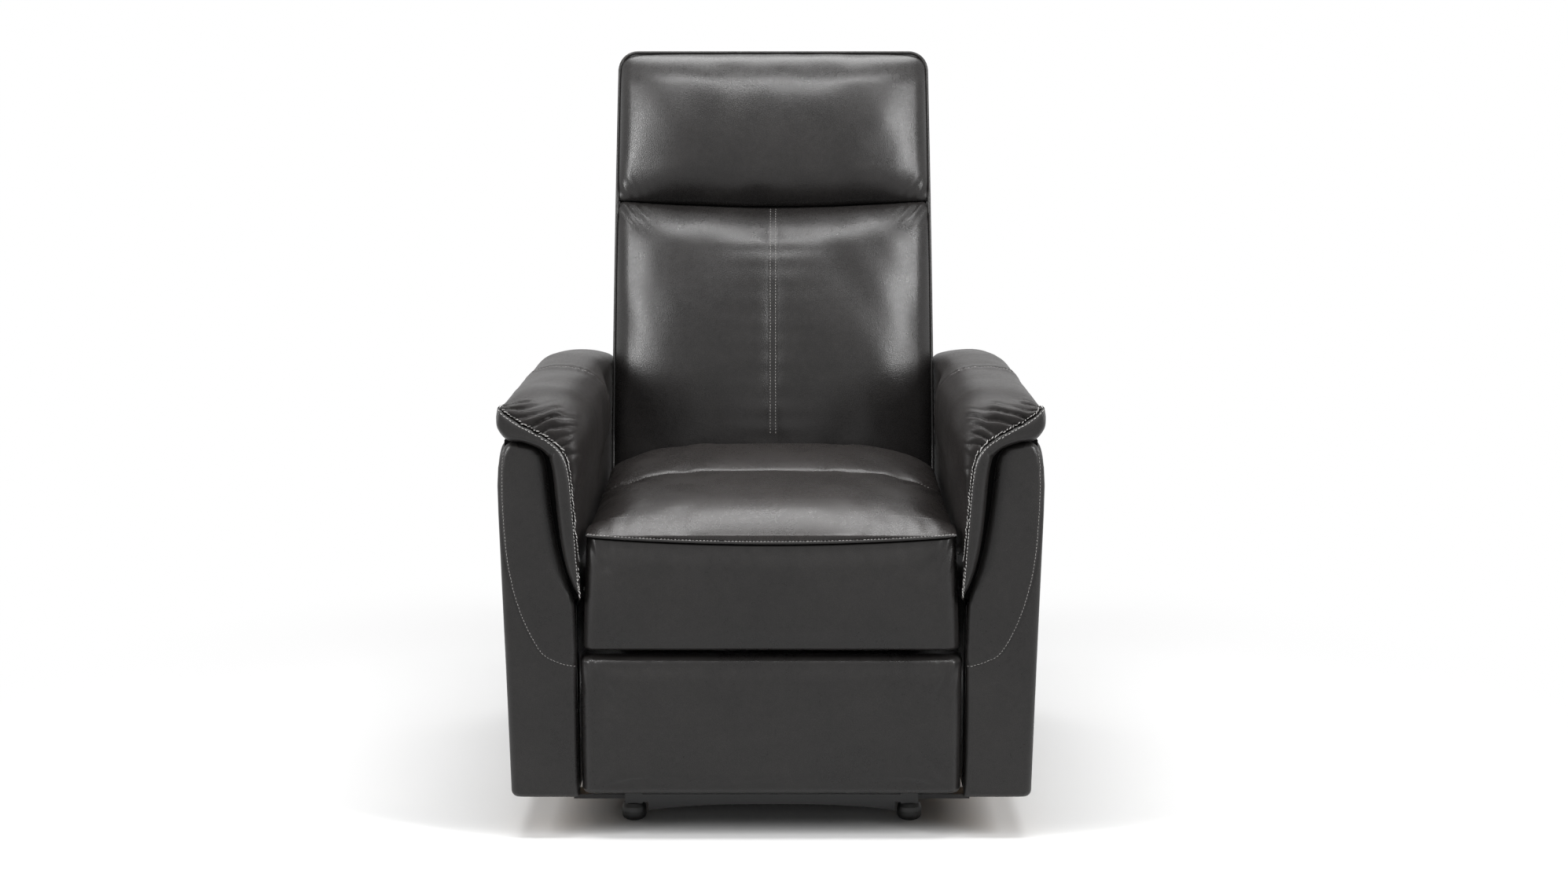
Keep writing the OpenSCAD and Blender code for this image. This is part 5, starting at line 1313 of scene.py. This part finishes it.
for side, word in sides:
    pad, band = pads[word]
    line = smoothPath([[x - seamRuns["facing"]["beside"], outFront, z] for x, z in facingStitch])
    stitches("facing_stitches_" + word, [mirrored(line, side)], "base", thread, facings[word], (0, 1, 0),
             stitchValues)
    line = smoothPath(bandSeam, 14)
    run = seamRuns["pad"]
    row = gridPoints(line[:, 0] - run["beside"], outFront, line[:, 1] + run["above"])[run["from"]:]
    stitches("pad_stitches_" + word, [mirrored(row, side)], "base", brightThread, pad, (0, 1, 0), padStitch)
    run = seamRuns["band"]
    row = gridPoints(line[:, 0] + run["beside"], outFront, line[:, 1] - run["below"])[run["from"]:run["to"]]
    stitches("band_stitches_" + word, [mirrored(row, side)], "base", brightThread, band, (0, 1, 0),
             bandStitch)
    run = seamRuns["padCross"]
    row = gridPoints(np.linspace(run["from"], run["to"], 60), padValues["seamY"] - run["before"], 660)
    stitches("pad_cross_stitches_" + word, [mirrored(row, side)], "base", thread, pad, (0, 0, -1),
             stitchValues)
print("stitching done")


stageValues = {"floorSize": 14, "floor": (0.58, 0.58, 0.58), "worldLight": 0.32, "whiteFrom": 0.5,
               "whiteAt": 1.4}


def seenRay(tree):
    # 1 for the rays of the camera, of gloss and of glass
    path = tree.nodes.new("ShaderNodeLightPath")
    either = maths(tree, "MAXIMUM", path.outputs["Is Camera Ray"], path.outputs["Is Transmission Ray"])
    return maths(tree, "MAXIMUM", either, path.outputs["Is Glossy Ray"])


def mixedShaders(tree, mask, a, b, output):
    # shader a where the mask is 0 and b where it is 1, joined to the output
    mix = tree.nodes.new("ShaderNodeMixShader")
    for socket, value in zip(mix.inputs, (mask, a.outputs[0], b.outputs[0])):
        tree.links.new(value, socket)
    tree.links.new(mix.outputs[0], output.inputs[0])


def makeFloor():
    # flat square floor that keeps the shadow; away from the chair the camera, gloss and glass see it
    # white, as they see the world
    corners = stageValues["floorSize"] * np.array([(-1, -1, 0), (1, -1, 0), (1, 1, 0), (-1, 1, 0)])
    floor = newObject("studio_floor", corners, [(0, 1, 2, 3)])
    material, tree, shader, place = newMaterial("studioFloor")
    shader.inputs["Base Color"].default_value = (*stageValues["floor"], 1)
    shader.inputs["Roughness"].default_value = 0.75
    shader.inputs["Specular IOR Level"].default_value = 0.1
    far = tree.nodes.new("ShaderNodeVectorMath")
    far.operation = "LENGTH"
    tree.links.new(place, far.inputs[0])
    away = tree.nodes.new("ShaderNodeMapRange")
    away.interpolation_type = "SMOOTHSTEP"
    away.inputs["From Min"].default_value = stageValues["whiteFrom"]
    away.inputs["From Max"].default_value = stageValues["whiteAt"]
    tree.links.new(far.outputs["Value"], away.inputs["Value"])
    white = tree.nodes.new("ShaderNodeEmission")
    white.inputs["Color"].default_value = (1, 1, 1, 1)
    output = next(node for node in tree.nodes if node.type == "OUTPUT_MATERIAL")
    mixedShaders(tree, maths(tree, "MULTIPLY", seenRay(tree), away.outputs["Result"]), shader, white, output)
    floor.data.materials.append(material)


def makeWorld():
    # soft light all round; the camera, gloss and glass see it white
    world = bpy.data.worlds.new("studio")
    bpy.context.scene.world = world
    world.use_nodes = True
    tree = world.node_tree
    tree.nodes.clear()
    output = tree.nodes.new("ShaderNodeOutputWorld")
    lit, seen = tree.nodes.new("ShaderNodeBackground"), tree.nodes.new("ShaderNodeBackground")
    for background, strength in ((lit, stageValues["worldLight"]), (seen, 1)):
        background.inputs["Color"].default_value = (1, 1, 1, 1)
        background.inputs["Strength"].default_value = strength
    mixedShaders(tree, seenRay(tree), lit, seen, output)


lampValues = {
    "left_softbox": {"place": (-2.3, -1.3, 1.7), "aim": (0, 0.2, 0.8), "size": (0.45, 1.7), "watts": 72},
    "right_softbox": {"place": (2.2, -1.5, 1.9), "aim": (0, 0.2, 0.8), "size": (0.45, 1.7), "watts": 84},
    "top_softbox": {"place": (0, 0.9, 2.6), "aim": (0, 0, 0.5), "size": (1.8, 1.0), "watts": 40},
    "front_softbox": {"place": (0, -0.8, 2.9), "aim": (0, 0.4, 0.8), "size": (2.4, 0.4), "watts": 72},
}


def softbox(name, values):
    # rectangular lamp turned towards its aim
    lamp = bpy.data.lights.new(name, "AREA")
    lamp.shape = "RECTANGLE"
    lamp.size, lamp.size_y = values["size"]
    lamp.energy = values["watts"]
    holder = bpy.data.objects.new(name, lamp)
    holder.location = values["place"]
    toAim = Vector(values["aim"]) - Vector(values["place"])
    holder.rotation_euler = toAim.to_track_quat("-Z", "Y").to_euler()
    bpy.context.scene.collection.objects.link(holder)


# the lens is the photograph's: 2910 pixels of distance over 1995 pixels of width, on a 36 mm sensor
cameraValues = {"sensor": 36, "distance": 2910, "width": 1995, "place": (0.017, -3.3578, 1.01), "down": 9.17}
lens = bpy.data.cameras.new("photo_camera")
lens.sensor_width = cameraValues["sensor"]
lens.lens = cameraValues["distance"] / cameraValues["width"] * cameraValues["sensor"]
camera = bpy.data.objects.new("photo_camera", lens)
camera.location = cameraValues["place"]
camera.rotation_euler = (math.radians(90 - cameraValues["down"]), 0, 0)
bpy.context.scene.collection.objects.link(camera)
bpy.context.scene.camera = camera
makeFloor()
makeWorld()
for name, values in lampValues.items():
    softbox(name, values)
bpy.context.scene.view_settings.view_transform = "Standard"
print("floor, light and camera done")
